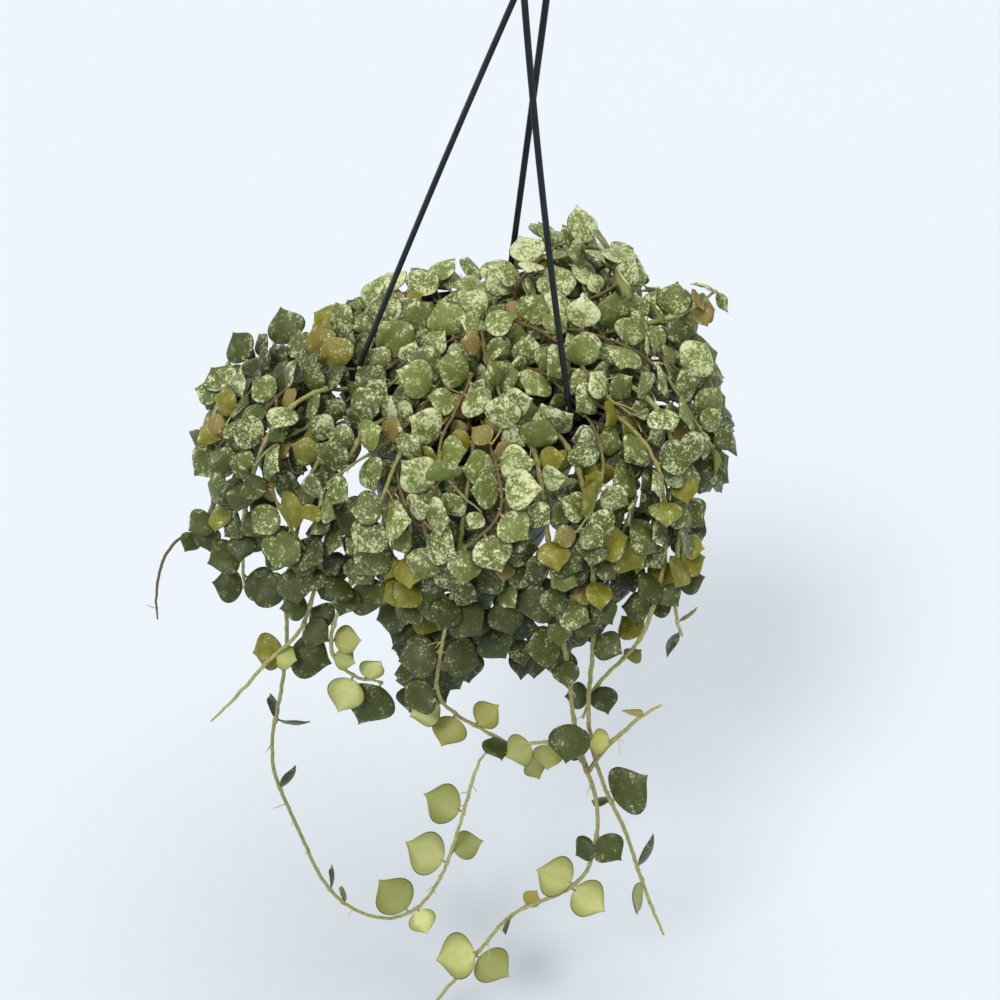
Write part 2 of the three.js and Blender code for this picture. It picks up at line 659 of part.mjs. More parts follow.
function ringPlaces(part) {
  const total = part.sums[part.sums.length - 1];
  const nodes = [...new Set(part.blades.map((leaf) => leaf.distance))].sort((p, q) => p - q);
  const places = [0];
  const walkTo = (distance) => {
    const start = places[places.length - 1];
    const count = Math.max(1, Math.round((distance - start) / BARE_STEP));
    for (let k = 1; k <= count; k += 1) places.push(start + ((distance - start) * k) / count);
  };
  for (const distance of nodes) {
    walkTo(distance - NODE_LENGTH / 2);
    places.push(distance + NODE_LENGTH / 2);
  }
  if (total - places[places.length - 1] > 2) walkTo(total);
  return places;
}

function skin(rings, leaves) {
  const points = rings.flatMap((ring) => ring.corners);
  const faces = [[2, 1, 0]];
  for (let k = 0; k < rings.length - 1; k += 1) {
    const middle = (rings[k].distance + rings[k + 1].distance) / 2;
    const centre = rings[k].centre.clone().lerp(rings[k + 1].centre, 0.5);
    const quads = [0, 1, 2].map((corner) => {
      const next = (corner + 1) % 3;
      return [3 * k + corner, 3 * k + next, 3 * k + 3 + next, 3 * k + 3 + corner];
    });
    const outward = (quad, leaf) => quad.reduce((sum, p) => sum.add(points[p]), vec(0, 0, 0))
      .divideScalar(4).sub(centre).normalize().dot(leaf.along);
    for (const leaf of leaves.filter(({ distance }) => Math.abs(distance - middle) < 1e-6)) {
      quads.sort((p, q) => outward(q, leaf) - outward(p, leaf));
      growBlade(quads.shift(), leaf, points, faces);
    }
    for (const [a, b, c, d] of quads) faces.push([a, b, c], [a, c, d]);
  }
  const last = 3 * (rings.length - 1);
  faces.push([last, last + 1, last + 2]);
  return { points, faces };
}

function wholeSkin(part) {
  return skin(ringPlaces(part).map((distance) => ringAt(part, distance)), part.blades);
}

function vineGeometry(part) {
  const { points, faces } = wholeSkin(part);
  const numbers = points.flatMap((p) => p.toArray());
  const geometry = new THREE.BufferGeometry();
  geometry.setAttribute('position', new THREE.Float32BufferAttribute(numbers, 3));
  geometry.setIndex(faces.flat());
  geometry.computeVertexNormals();
  return geometry;
}

// The blade takes the place of one side face of the stem, and its root is the
// face's four corners, turned to suit the way the blade faces
function growBlade(quad, leaf, points, faces) {
  const { rim, top, across } = leafPoints(leaf);
  const ideal = [[-1, -1], [1, -1], [1, 1], [-1, 1]].map(([i, j]) =>
    leaf.base.clone().addScaledVector(across, i).addScaledVector(leaf.normal, j));
  const misfit = (turn) => ideal.reduce((sum, p, k) => sum + p.distanceTo(points[quad[(k + turn) % 4]]), 0);
  const turn = [0, 1, 2, 3].sort((p, q) => misfit(p) - misfit(q))[0];
  const [bottomLeft, bottomRight, topRight, topLeft] = [0, 1, 2, 3].map((k) => quad[(k + turn) % 4]);
  const first = points.length;
  points.push(...rim, top);
  const edge = rim.map((unused, k) => first + k);
  const crest = first + rim.length;
  const n = rim.length;
  const upper = [topRight, ...edge, topLeft];
  upper.forEach((p, k) => faces.push([crest, upper[(k + 1) % upper.length], p]));
  const lower = [bottomRight, ...edge, bottomLeft];
  const middle = (n - 1) / 2;
  for (let k = 0; k < middle; k += 1) {
    const m = lower.length - 1 - k;
    faces.push([lower[k], lower[k + 1], lower[m - 1]], [lower[k], lower[m - 1], lower[m]]);
  }
  faces.push([lower[middle], lower[middle + 1], lower[middle + 2]]);
  faces.push([topRight, edge[0], bottomRight], [edge[n - 1], topLeft, bottomLeft]);
}

// Whether any edge of the skin passes through one of its faces

function pierces(p, q, [a, b, c]) {
  const along = q.clone().sub(p);
  const ab = b.clone().sub(a);
  const ac = c.clone().sub(a);
  const h = along.clone().cross(ac);
  const scale = ab.dot(h);
  if (Math.abs(scale) < 1e-12) return false;
  const offset = p.clone().sub(a);
  const u = offset.dot(h) / scale;
  if (u < 0 || u > 1) return false;
  const w = offset.cross(ab);
  const v = along.dot(w) / scale;
  if (v < 0 || u + v > 1) return false;
  const t = ac.dot(w) / scale;
  return t > 0 && t < 1;
}

function crossesItself({ points, faces }) {
  const boxes = faces.map((face) => new THREE.Box3().setFromPoints(face.map((p) => points[p])));
  return faces.some((face, i) => faces.some((target, j) => {
    if (i === j || !boxes[i].intersectsBox(boxes[j])) return false;
    const corners = target.map((p) => points[p]);
    return face.some((p, k) => {
      const q = face[(k + 1) % 3];
      return !target.includes(p) && !target.includes(q) && pierces(points[p], points[q], corners);
    });
  }));
}

function rootIsSound(part, leaf) {
  const total = part.sums[part.sums.length - 1];
  const reach = NODE_LENGTH / 2 + BARE_STEP;
  const places = [Math.max(0, leaf.distance - reach), leaf.distance - NODE_LENGTH / 2,
    leaf.distance + NODE_LENGTH / 2, Math.min(total + 1, leaf.distance + reach)];
  const pair = part.blades.filter(({ distance }) => distance === leaf.distance);
  return !crossesItself(skin(places.map((distance) => ringAt(part, distance)), [...pair, leaf]));
}

// Convex bodies for the room test: corners, face directions and edge directions

function hullOfLeaf(leaf, start, clearance) {
  const { rim } = leafPoints(leaf);
  const { normal } = leaf;
  const up = normal.clone().multiplyScalar(LEAF_DOME * 0.8 + clearance);
  const down = normal.clone().multiplyScalar(-LEAF_BELLY - clearance);
  const base = leaf.base.clone().addScaledVector(leaf.along, start);
  const outline = [base, ...rim];
  const corners = outline.flatMap((p) => [p.clone().add(up), p.clone().add(down)]);
  const edges = outline.map((p, k) => outline[(k + 1) % outline.length].clone().sub(p).normalize());
  const faces = [normal, ...edges.map((edge) => edge.clone().cross(normal))];
  const centre = leaf.base.clone().addScaledVector(leaf.along, leaf.length * 0.5);
  return { corners, faces, edges: [...edges, normal], centre, reach: leaf.length * 0.62 };
}

function hullOfSegment(a, b, radius) {
  const along = b.clone().sub(a);
  const length = along.length();
  along.normalize();
  const aid = Math.abs(along.z) < 0.9 ? vec(0, 0, 1) : vec(1, 0, 0);
  const side = aid.cross(along).normalize();
  const other = along.clone().cross(side);
  const corners = [a, b].flatMap((p) => [[1, 1], [1, -1], [-1, 1], [-1, -1]].map(([i, j]) =>
    p.clone().addScaledVector(side, i * radius).addScaledVector(other, j * radius)));
  const directions = [along, side, other];
  const reach = length / 2 + radius * 1.5;
  return { corners, faces: directions, edges: directions, centre: a.clone().lerp(b, 0.5), reach };
}

function separates(axis, a, b) {
  let lowA = Infinity;
  let highA = -Infinity;
  let lowB = Infinity;
  let highB = -Infinity;
  for (const p of a.corners) {
    const s = p.dot(axis);
    if (s < lowA) lowA = s;
    if (s > highA) highA = s;
  }
  for (const p of b.corners) {
    const s = p.dot(axis);
    if (s < lowB) lowB = s;
    if (s > highB) highB = s;
  }
  return highA < lowB || highB < lowA;
}

function apart(a, b) {
  if (a.centre.distanceTo(b.centre) > a.reach + b.reach) return true;
  if ([...a.faces, ...b.faces].some((axis) => separates(axis, a, b))) return true;
  for (const p of a.edges) {
    for (const q of b.edges) {
      const axis = p.clone().cross(q);
      if (axis.lengthSq() > 1e-6 && separates(axis, a, b)) return true;
    }
  }
  return false;
}

// The filled pot counts as solid up to its rim
function clearOfPot(hull) {
  const samples = [hull.centre, ...hull.corners];
  const across = (k) => hull.corners[(k + 2) % hull.corners.length];
  hull.corners.forEach((p, k) => samples.push(p.clone().lerp(across(k), 0.5)));
  hull.corners.forEach((p) => samples.push(p.clone().lerp(hull.centre, 0.5)));
  return samples.every((p) => {
    const radius = Math.hypot(p.x, p.y);
    if (p.z > 2 * LEAF_CLEARANCE || p.z < -POT_HEIGHT - 2 * LEAF_CLEARANCE) return true;
    const wall = p.z > -RIM_SKIRT_DEPTH - 1 ? RIM_RADIUS : potRadius(p.z);
    return radius > wall + 2 * LEAF_CLEARANCE + 0.2;
  });
}

// Leaves face up and outwards, and a little towards the window in front
function facing(point) {
  const radius = Math.max(1, Math.hypot(point.x, point.y));
  const outward = Math.min(1.15, radius / 85) / radius;
  return vec(point.x * outward, point.y * outward - WINDOW_PULL, 1).normalize();
}

const PICTURE_UP = vec(0, Math.sin(radians(43)), Math.cos(radians(43)));
const PICTURE_NORMAL = vec(0, -Math.cos(radians(43)), Math.sin(radians(43)));

// A leaf of a trailing vine, turned a little more with every further try
function handLeaf(base, [, angle, length, face], seed, attempt) {
  const wander = (k) => (draw(seed, k, attempt) - 0.5) * (0.1 + 0.12 * attempt);
  const tilt = (k) => (draw(seed, k, 77) - 0.5) * 0.5;
  const turn = radians(angle) + wander(1);
  const along = vec(Math.cos(turn), 0, 0).addScaledVector(PICTURE_UP, Math.sin(turn))
    .addScaledVector(PICTURE_NORMAL, tilt(5) + wander(4)).normalize();
  const lean = face === EDGE ? 0.22 : face;
  const sideways = face === EDGE ? along.clone().cross(PICTURE_NORMAL).normalize()
    : vec(tilt(2), tilt(3), 0);
  const normal = PICTURE_NORMAL.clone().multiplyScalar(lean).add(sideways);
  normal.x += wander(2);
  normal.z += wander(3);
  normal.addScaledVector(along, -normal.dot(along)).normalize();
  return { base, along, normal, length: length * (1 - 0.012 * attempt) };
}

// A leaf of the mound: off to one side of the stem, facing the light, tip drooping
function moundLeaf({ line, sums }, distance, side, pairsToTip, seed, attempt) {
  const total = sums[sums.length - 1];
  const base = pointAlong(line, sums, distance);
  const ahead = pointAlong(line, sums, Math.min(total, distance + 4));
  const behind = pointAlong(line, sums, Math.max(0, distance - 4));
  const forward = ahead.sub(behind).normalize();
  const light = facing(base);
  const wander = (k) => (draw(seed, k, attempt) - 0.5) * 2;
  const sway = vec(wander(1), wander(2), wander(3)).multiplyScalar(LEAF_SWAY);
  const normal = light.clone().add(sway).normalize();
  const sideways = light.clone().cross(forward).normalize().multiplyScalar(side);
  const splay = radians(70 + 42 * wander(4));
  const along = sideways.multiplyScalar(Math.sin(splay)).addScaledVector(forward, Math.cos(splay));
  along.addScaledVector(light, 0.2 + 0.3 * wander(5));
  along.z -= 0.15;
  along.addScaledVector(normal, -normal.dot(along)).normalize();
  const young = Math.min(1, 0.62 + 0.14 * pairsToTip);
  const length = LEAF_LENGTH * young * (0.9 + 0.22 * draw(seed, 6, 0)) * (1 - 0.008 * attempt);
  return { base, along, normal, length };
}

function nearestDistance(line, point) {
  const sums = lengths(line);
  const total = sums[sums.length - 1];
  const miss = (distance) => pointAlong(line, sums, distance).distanceTo(point);
  let best = 0;
  for (let distance = 0; distance <= total; distance += 0.5) {
    if (miss(distance) < miss(best)) best = distance;
  }
  return best;
}

// Leaves stand further apart behind the pot than in front of it
function crowding(point) {
  const behind = Math.min(1, Math.max(0, (point.y + 20) / 90));
  return LEAF_SPACING_FRONT + (LEAF_SPACING_BEHIND - LEAF_SPACING_FRONT) * behind;
}

// Two leaves closer than this along the stem are a pair and share one place
function snapped(part, distance) {
  const pair = part.blades.find((leaf) => Math.abs(leaf.distance - distance) < 2 * NODE_LENGTH);
  return pair ? pair.distance : distance;
}

function growLeaves(stems) {
  const arms = CLIP_AZIMUTHS.flatMap((azimuth, index) => {
    const points = [polar(azimuth, CLIP_RADIUS, 0), ...armCurve(index).getPoints(8)];
    return points.slice(1).map((p, k) => hullOfSegment(points[k], p, k === 0 ? CLIP_KEEP_OUT : ARM_KEEP_OUT));
  });
  const segments = stems.flatMap((stem, owner) => [stem, ...stem.shoots].flatMap(({ line }) =>
    line.slice(1).map((p, k) => ({
      owner,
      own: hullOfSegment(line[k], p, STEM_RADIUS * 0.95),
      other: hullOfSegment(line[k], p, STEM_RADIUS + STEM_KEEP_OUT),
    }))));
  const taken = [];
  const fits = (owner, hull, leaf) => {
    const blade = hullOfLeaf(leaf, LEAF_ROOT, 0);
    return clearOfPot(hull)
      && arms.every((arm) => apart(arm, hull))
      && taken.every((other) => apart(other, hull))
      && segments.every((segment) => (segment.owner === owner ? apart(segment.own, blade)
        : apart(segment.other, hull)));
  };
  // Of the tries that fit, the leaf takes the one furthest from its neighbours
  const place = (owner, part, distance, least, propose) => {
    const tangent = directionAlong(part.line, part.sums, distance);
    let best = null;
    for (let attempt = 0; attempt < LEAF_TRIES; attempt += 1) {
      const leaf = { ...propose(attempt), distance };
      if (Math.abs(leaf.along.dot(tangent)) > LEAF_STEEPEST) continue;
      const hull = hullOfLeaf(leaf, PETIOLE_START, LEAF_CLEARANCE);
      const room = Math.min(LEAF_LENGTH, ...taken.map((other) => other.centre.distanceTo(hull.centre)));
      if (room < least || (best && room <= best.room)) continue;
      if (fits(owner, hull, leaf) && rootIsSound(part, leaf)) best = { leaf, hull, room };
      if (best && least === 0) break;
    }
    if (!best) return 1;
    taken.push(best.hull);
    part.blades.push(best.leaf);
    return 0;
  };
  stems.forEach((stem) => [stem, ...stem.shoots].forEach((part) => {
    part.blades = [];
    part.sums = lengths(part.line);
    part.sides = carriedSides(part.line, part.sums);
  }));
  stems.forEach((stem, owner) => {
    const lists = [stem, ...stem.shoots].filter((part) => part.leaves);
    lists.forEach((part, partIndex) => part.leaves.forEach((entry, index) => {
      const near = splineAt(part.points, entry[0] + (partIndex === 0 ? 2 : 0));
      const distance = snapped(part, nearestDistance(part.line, near));
      const base = pointAlong(part.line, part.sums, distance);
      const seed = 1000 + 50 * owner + 20 * partIndex + index;
      place(owner, part, distance, 0, (attempt) => handLeaf(base, entry, seed, attempt));
    }));
  });
  for (let pair = 0; pair < MOST_PAIRS; pair += 1) {
    stems.forEach((stem, owner) => {
      if (stem.leaves) return;
      const total = stem.sums[stem.sums.length - 1];
      const pairs = Math.floor((total - stem.bare) / stem.internode);
      if (pair > pairs) return;
      const distance = total - 1.5 - (pairs - pair) * stem.internode;
      for (const side of [-1, 1]) {
        const seed = 10 * stem.seed + 2 * pair + (side > 0 ? 1 : 0);
        const propose = (attempt) => moundLeaf(stem, distance, side, pairs - pair, seed, attempt);
        place(owner, stem, distance, crowding(pointAlong(stem.line, stem.sums, distance)), propose);
      }
    });
  }
  stems.forEach((stem) => [stem, ...stem.shoots].forEach(dropCrossings));
}

// A blade that still crosses its vine's finished skin is left off
function dropCrossings(part) {
  if (!crossesItself(wholeSkin(part))) return;
  const candidates = part.blades;
  part.blades = [];
  for (const leaf of candidates) {
    part.blades.push(leaf);
    if (crossesItself(wholeSkin(part))) part.blades.pop();
  }
}

function makeVine(stem) {
  const solids = [stem, ...stem.shoots].map((part) => toSolid(vineGeometry(part)));
  return toGeometry(solids.reduce((whole, shoot) => whole.add(shoot)));
}

// Soil: it fills the pot, a little low at the edge, with a plain hole for each stem

function makeSoil(stems) {
  const low = -POT_HEIGHT + POT_FLOOR + GAP;
  const inner = (z) => potRadius(z) - POT_WALL - GAP;
  const body = turned([
    [0, low],
    [inner(low) - 0.4, low],
    [inner(SOIL_TOP - SOIL_EDGE_DROP), SOIL_TOP - SOIL_EDGE_DROP],
    [inner(SOIL_TOP) - SOIL_EDGE_WIDTH, SOIL_TOP],
    [0, SOIL_TOP + 0.5],
  ], POT_SIDES);
  const holes = stems.map(({ points }) => {
    const [foot] = points;
    return post(foot.x, foot.y, foot.z - GAP, SOIL_TOP + 2, HOLE_RADIUS, 4);
  });
  return toGeometry(cutFrom(toSolid(body), holes));
}

// Materials and the scene graph

const BLACK_PLASTIC = new THREE.MeshStandardMaterial({ color: 0x17191c, roughness: 0.5, metalness: 0 });
const GREY_PLASTIC = new THREE.MeshStandardMaterial({ color: 0x33383e, roughness: 0.45, metalness: 0 });
const POTTING_SOIL = new THREE.MeshStandardMaterial({ color: 0x3a2a20, roughness: 0.95, metalness: 0 });
const FLECKED_LEAF = new THREE.MeshStandardMaterial({ color: 0x75925a, roughness: 0.5, metalness: 0 });

function piece(name, geometry, material) {
  const mesh = new THREE.Mesh(geometry, material);
  mesh.name = name;
  return mesh;
}

const stems = growStems();
growLeaves(stems);

// Everything above is measured from the centre of the rim; the group hangs it
// so that the hook's inside top is at the origin
const group = new THREE.Group();
const hung = new THREE.Group();
hung.position.copy(HANGING_POINT).negate();
hung.add(piece('pot', makePot(), BLACK_PLASTIC));
hung.add(piece('hanger', makeHanger(), GREY_PLASTIC));
hung.add(piece('soil', makeSoil(stems), POTTING_SOIL));
for (const stem of stems) {
  hung.add(piece(`vine_${stem.name}`, makeVine(stem), FLECKED_LEAF));
}
group.add(hung);

export default group;
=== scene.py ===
# The looks of a hoya curtisii in a hanging pot: fleshy spade-shaped leaves with
# pale flecks on finer stems, aerial roots, moulded plastic pot and hanger, soil.
# Metres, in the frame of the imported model; the leaf and stem sizes are in
# millimetres and scaled where their meshes are made.

import json
import math

import bmesh
import bpy
import numpy as np
from mathutils import Matrix, Vector, noise
from numpy.linalg import norm

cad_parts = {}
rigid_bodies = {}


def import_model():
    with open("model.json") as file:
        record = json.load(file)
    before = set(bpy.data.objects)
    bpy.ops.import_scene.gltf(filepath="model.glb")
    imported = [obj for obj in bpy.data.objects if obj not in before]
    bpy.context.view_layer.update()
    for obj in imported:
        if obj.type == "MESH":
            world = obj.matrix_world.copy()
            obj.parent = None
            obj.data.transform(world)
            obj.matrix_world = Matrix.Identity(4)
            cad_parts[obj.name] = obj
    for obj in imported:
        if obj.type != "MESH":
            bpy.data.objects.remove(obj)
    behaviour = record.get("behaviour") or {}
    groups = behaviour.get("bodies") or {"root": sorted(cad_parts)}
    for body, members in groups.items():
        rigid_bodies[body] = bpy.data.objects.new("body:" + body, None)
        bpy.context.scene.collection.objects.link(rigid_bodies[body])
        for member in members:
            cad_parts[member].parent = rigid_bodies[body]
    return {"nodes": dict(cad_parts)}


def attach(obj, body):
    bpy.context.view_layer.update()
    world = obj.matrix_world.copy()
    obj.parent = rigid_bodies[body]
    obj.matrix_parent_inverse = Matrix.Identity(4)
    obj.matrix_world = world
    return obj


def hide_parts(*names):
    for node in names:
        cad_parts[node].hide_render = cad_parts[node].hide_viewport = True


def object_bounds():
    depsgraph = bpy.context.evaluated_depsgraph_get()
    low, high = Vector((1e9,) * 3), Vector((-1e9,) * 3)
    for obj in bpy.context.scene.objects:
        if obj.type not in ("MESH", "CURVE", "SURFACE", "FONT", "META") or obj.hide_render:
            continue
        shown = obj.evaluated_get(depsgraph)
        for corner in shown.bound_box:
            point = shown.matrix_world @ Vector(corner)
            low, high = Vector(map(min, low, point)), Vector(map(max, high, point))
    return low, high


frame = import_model()
cad_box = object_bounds()

MM = 0.001

# Blender's vector noise follows the clock until it is given a seed
noise.seed_set(11)

# Camera, as the photograph was taken: from in front and above, slightly rolled
CAMERA_PLACE = np.array([7.3, -720.6, 287.1])
CAMERA_RIGHT = np.array([0.9948, 0.0698, 0.0747])
CAMERA_UP = np.array([-0.1023, 0.6791, 0.7269])
CAMERA_AHEAD = np.array([0.0, 0.7308, -0.6826])
CAMERA_FOCAL = 1731.0
IMAGE_SIZE = 1000
SENSOR_WIDTH = 36.0

# The centre of the pot's rim, seen from the hanging point
RIM_CENTRE = np.array([-11.9, 1.5, -295.7])

# Sizes of the pot, the hanger and the soil, as in the solids
POT_HEIGHT = 106.0
POT_TOP_RADIUS = 66.5
POT_BASE_RADIUS = 48.0
POT_WALL = 1.6
POT_FLOOR = 2.0
RIM_RADIUS = 72.5
RIM_THICKNESS = 2.0
RIM_SKIRT_DEPTH = 9.0
DRAIN_HOLE_RADIUS = 4.0
DRAIN_HOLE_CIRCLE = 30.0
DRAIN_HOLE_COUNT = 4
CLIP_RADIUS = 68.6
CLIP_AZIMUTHS = (200.6, 320.6, 80.6)
ARM_BOWS = (1.6, -3.6, 0.2)
ARM_WIDTH = 3.2
ARM_THICKNESS = 2.4
HEAD = np.array([11.9, -1.5, 257.0])
HEAD_ATTACH_RADIUS = 11.0
HEAD_TWIST = -137.0
HUB_RADIUS = 13.5
HUB_HEIGHT = 7.0
HUB_BELOW = 3.0
HOOK_WIRE_RADIUS = 2.3
HOOK_BEND_RADIUS = 12.0
HOOK_RISE = 34.0
SLOT_PLAY = 0.45
SOIL_TOP = -12.0
GAP = 0.35

# The solids' leaf: where its corners lie, in parts of its length, and its dome
SOLID_DOME = 1.5
SOLID_CREST = 0.4
SOLID_SHOULDER = (0.82, 0.24)
SOLID_WAIST = (0.52, 0.47)
SOLID_FLANK = (0.25, 0.35)
SOLID_STEM_RADIUS = 1.15

# How exactly corners of the solids are matched, in mm, the fewest neighbours of a
# leaf's crest, and the distance at which two rings belong to one pair of leaves
WELD = 0.002
MATCH = 0.06
RING_MATCH = 0.02
CREST_NEIGHBOURS = 7
PAIR_GAP = 3

# The finer leaf: half its outline as (distance from the stem, half width) in
# parts of its length
OUTLINE = (
    (0.095, 0.0), (0.105, 0.085), (0.125, 0.16), (0.16, 0.245), (0.21, 0.33), (0.28, 0.405), (0.37, 0.462),
    (0.47, 0.485), (0.57, 0.468), (0.65, 0.42), (0.72, 0.348), (0.78, 0.265), (0.83, 0.19),
    (0.87, 0.132), (0.91, 0.084), (0.945, 0.048), (0.975, 0.02), (1.0, 0.0),
)
LEAF_COLUMNS = 8
LEAF_THICKNESS = 1.25
SMALL_LEAF = 15
PETIOLE_SIDES = 6
PETIOLE_OVERLAP = 0.045
STEM_SIDES = 8
STEM_STEP = 2.2
STEM_RADIUS = 0.76
NODE_SWELL = 0.38
NODE_REACH = 1.7
STEM_WOBBLE = 0.55
ROOT_SIDES = 5
ROOT_FIRST = 8
ROOT_STEP = 3
ROOT_SHORTEST = 2.5
ROOT_GROWTH = 8.5
TWIN_ROOT_SHARE = 0.4
# Each kind of stem: how stout, the share of its points that have a root, and its
# age, 1 old and brown to 0 young and pale, at its root, middle and tip
STEM_KINDS = {
    "mound": (1.0, 0.3, (1.0, 0.88, 0.3)),
    "trailing": (1.5, 0.13, (0.6, 0.25, 0.0)),
    "tendril": (1.1, 0.13, (1.0, 1.0, 0.85)),
}
EXTRA_SPACING = 8.5
EXTRA_FIRST = 5
EXTRA_STEP = 3
EXTRA_TRIES = 20
EXTRA_LENGTH = 21.5
EXTRA_LOWEST = -70
SIDE_SPLAY = 66
SPLAY_SPREAD = 40
LEAF_SINK = 0.12

# Free space in mm: to the pot, over and under a leaf, a stem and an arm, and how
# far off another leaf can still touch
POT_CLEARANCE = 1.2
SOIL_CLEARANCE = 1.5
LEAF_CLEARANCE = (-0.9, 1.9)
STEM_CLEARANCE = (-1.5, 2.4)
ARM_CLEARANCE = (-3.2, 3.8)
LEAF_REACH = 22

# Light on the mound: leaves face out to this radius and a little to the front; their colour has painted
# shade, darker from one height over the rim to the other, and darker where other leaves shelter them within
# a depth
FACING_RADIUS = 85
FACING_MOST = 1.15
FRONT_PULL = 0.5
DARK_HEIGHT = -100
LIT_HEIGHT = 12
SHELTER_FROM = 2.5
SHELTER_DEPTH = 42
SHELTER_RADIUS = 11
LOW_LEAF = -60

# The shares of gold leaves and of tan ones among the young, and the length below
# which a leaf is young; leaves more sheltered than this take no tint
GOLD_SHARE = 0.025
YOUNG_TAN_SHARE = 0.4
YOUNG_LENGTH = 14.5
TINT_SHELTER = 0.7

# Places in the picture where the mound has a hole: (x, y, radius in pixels)
HOLES = (
    (372, 468, 25), (284, 532, 22), (418, 640, 16), (350, 500, 16), (478, 294, 24), (446, 300, 18),
)


def draw(*keys):
    """A number from 0 to 1 that depends only on its arguments."""
    wave = math.sin(sum(k * w for k, w in zip(keys, (12.9898, 78.233, 37.719, 9.151))) + 2.1) * 4375.8545
    return wave - math.floor(wave)


def unit(v):
    return v / max(1e-12, norm(v))


def polar(azimuth, radius, z):
    a = math.radians(azimuth)
    return np.array([radius * math.cos(a), radius * math.sin(a), z])


def in_picture(point):
    """Where a point (mm, from the hanging point) comes in the picture, in pixels."""
    away = point - CAMERA_PLACE
    scale = CAMERA_FOCAL / (away @ CAMERA_AHEAD)
    return IMAGE_SIZE / 2 + scale * (away @ CAMERA_RIGHT), IMAGE_SIZE / 2 - scale * (away @ CAMERA_UP)


def middle(leaf):
    return leaf["base"] + leaf["along"] * leaf["length"] * 0.5


# Reading the vines' solids: their leaves, and the rings of their stems


def solid_mesh(node):
    """The node's corners in mm without doubles, and its triangles."""
    mesh = frame["nodes"][node].data
    co = np.array([v.co for v in mesh.vertices]) / MM
    keys = np.round(co / WELD).astype(np.int64)
    unused, first, index = np.unique(keys, axis=0, return_index=True, return_inverse=True)
    corners = co[first]
    index = index.reshape(-1)
    faces = [[int(index[v]) for v in p.vertices] for p in mesh.polygons]
    return corners, faces


def neighbours_of(count, faces):
    near = [set() for unused in range(count)]
    for face in faces:
        for k, v in enumerate(face):
            near[v].add(face[k - 1])
            near[face[k - 1]].add(v)
    return near


def leaf_at(crest, around, corners):
    """The leaf whose crest this corner is, or None."""
    c = corners[crest]
    reach = {k: norm(corners[k] - c) for k in around}
    for tip in sorted(around, key=lambda k: -reach[k])[:3]:
        span = reach[tip] ** 2 - SOLID_DOME ** 2
        if span < 9:
            continue
        length = math.sqrt(span) / (1 - SOLID_CREST)
        du, dv = SOLID_SHOULDER
        want = math.hypot(1 - du, dv) * length
        pair = [k for k in around if abs(norm(corners[k] - corners[tip]) - want) < MATCH]
        for i, a in enumerate(pair):
            for b in pair[i + 1:]:
                if abs(norm(corners[a] - corners[b]) - 2 * dv * length) > MATCH:
                    continue
                along = unit(corners[tip] - (corners[a] + corners[b]) / 2)
                across = unit(corners[a] - corners[b])
                normal = np.cross(along, across)
                base = corners[tip] - along * length
                if (c - base) @ normal < 0:
                    normal = -normal
                across = np.cross(normal, along)
                expected = base + along * SOLID_CREST * length + normal * SOLID_DOME
                if norm(expected - c) > MATCH:
                    continue
                used = {crest, tip, a, b}
                for u, v in (SOLID_WAIST, SOLID_FLANK):
                    for side in (-1, 1):
                        place = base + along * u * length + across * side * v * length
                        used.update(k for k in around if norm(corners[k] - place) < MATCH)
                if len(used) < CREST_NEIGHBOURS:
                    continue
                leaf = {"base": base, "along": along, "across": across, "normal": normal, "length": length}
                return leaf, used
    return None


def find_rings(corners, free):
    """The ring that each free corner belongs to, and the middle of each ring of three."""
    side = SOLID_STEM_RADIUS * math.sqrt(3)

    def side_apart(a, b):
        return abs(norm(corners[a] - corners[b]) - side) < RING_MATCH

    ring_of = {}
    rings = []
    for a in free:
        if a in ring_of:
            continue
        close = [b for b in free if b != a and b not in ring_of and side_apart(a, b)]
        for i, b in enumerate(close):
            match = [c for c in close[i + 1:] if side_apart(c, b)]
            if match:
                trio = (a, b, match[0])
                for k in trio:
                    ring_of[k] = len(rings)
                rings.append(sum(corners[k] for k in trio) / 3)
                break
    return ring_of, rings


def read_vine(node):
    """The leaves and the stem lines of a vine's solid."""
    corners, faces = solid_mesh(node)
    near = neighbours_of(len(corners), faces)
    leaves = []
    used = set()
    for crest, around in enumerate(near):
        found = leaf_at(crest, around, corners) if len(around) >= CREST_NEIGHBOURS else None
        if found:
            leaves.append(found[0])
            used |= found[1]
    ring_of, rings = find_rings(corners, [k for k in range(len(corners)) if k not in used])
    links = [set() for unused in rings]
    for a, others in enumerate(near):
        for b in others:
            if a in ring_of and b in ring_of and ring_of[a] != ring_of[b]:
                links[ring_of[a]].add(ring_of[b])
    lines = []
    left = set(range(len(rings)))
    while left:
        group = {min(left)}
        grow = list(group)
        while grow:
            for k in links[grow.pop()]:
                if k not in group:
                    group.add(k)
                    grow.append(k)
        left -= group
        ends = [k for k in group if len(links[k]) <= 1] or [min(group)]
        start = min(ends, key=lambda k: norm(rings[k] - RIM_CENTRE - [0, 0, SOIL_TOP]))
        order = [start]
        while True:
            after = [k for k in links[order[-1]] if k not in order]
            if not after:
                break
            order.append(min(after, key=lambda k: norm(rings[k] - rings[order[-1]])))
        lines.append([rings[k] for k in order])
    lines.sort(key=lambda line: -len(line))
    for line in lines[1:]:
        trunk = np.array(lines[0])
        distance = norm(trunk - line[0], axis=1)
        back = norm(trunk - line[-1], axis=1)
        if back.min() < distance.min():
            line.reverse()
            distance = back
        line.insert(0, trunk[int(distance.argmin())])
    return leaves, [smooth(merge_close(line)) for line in lines if len(line) > 1]


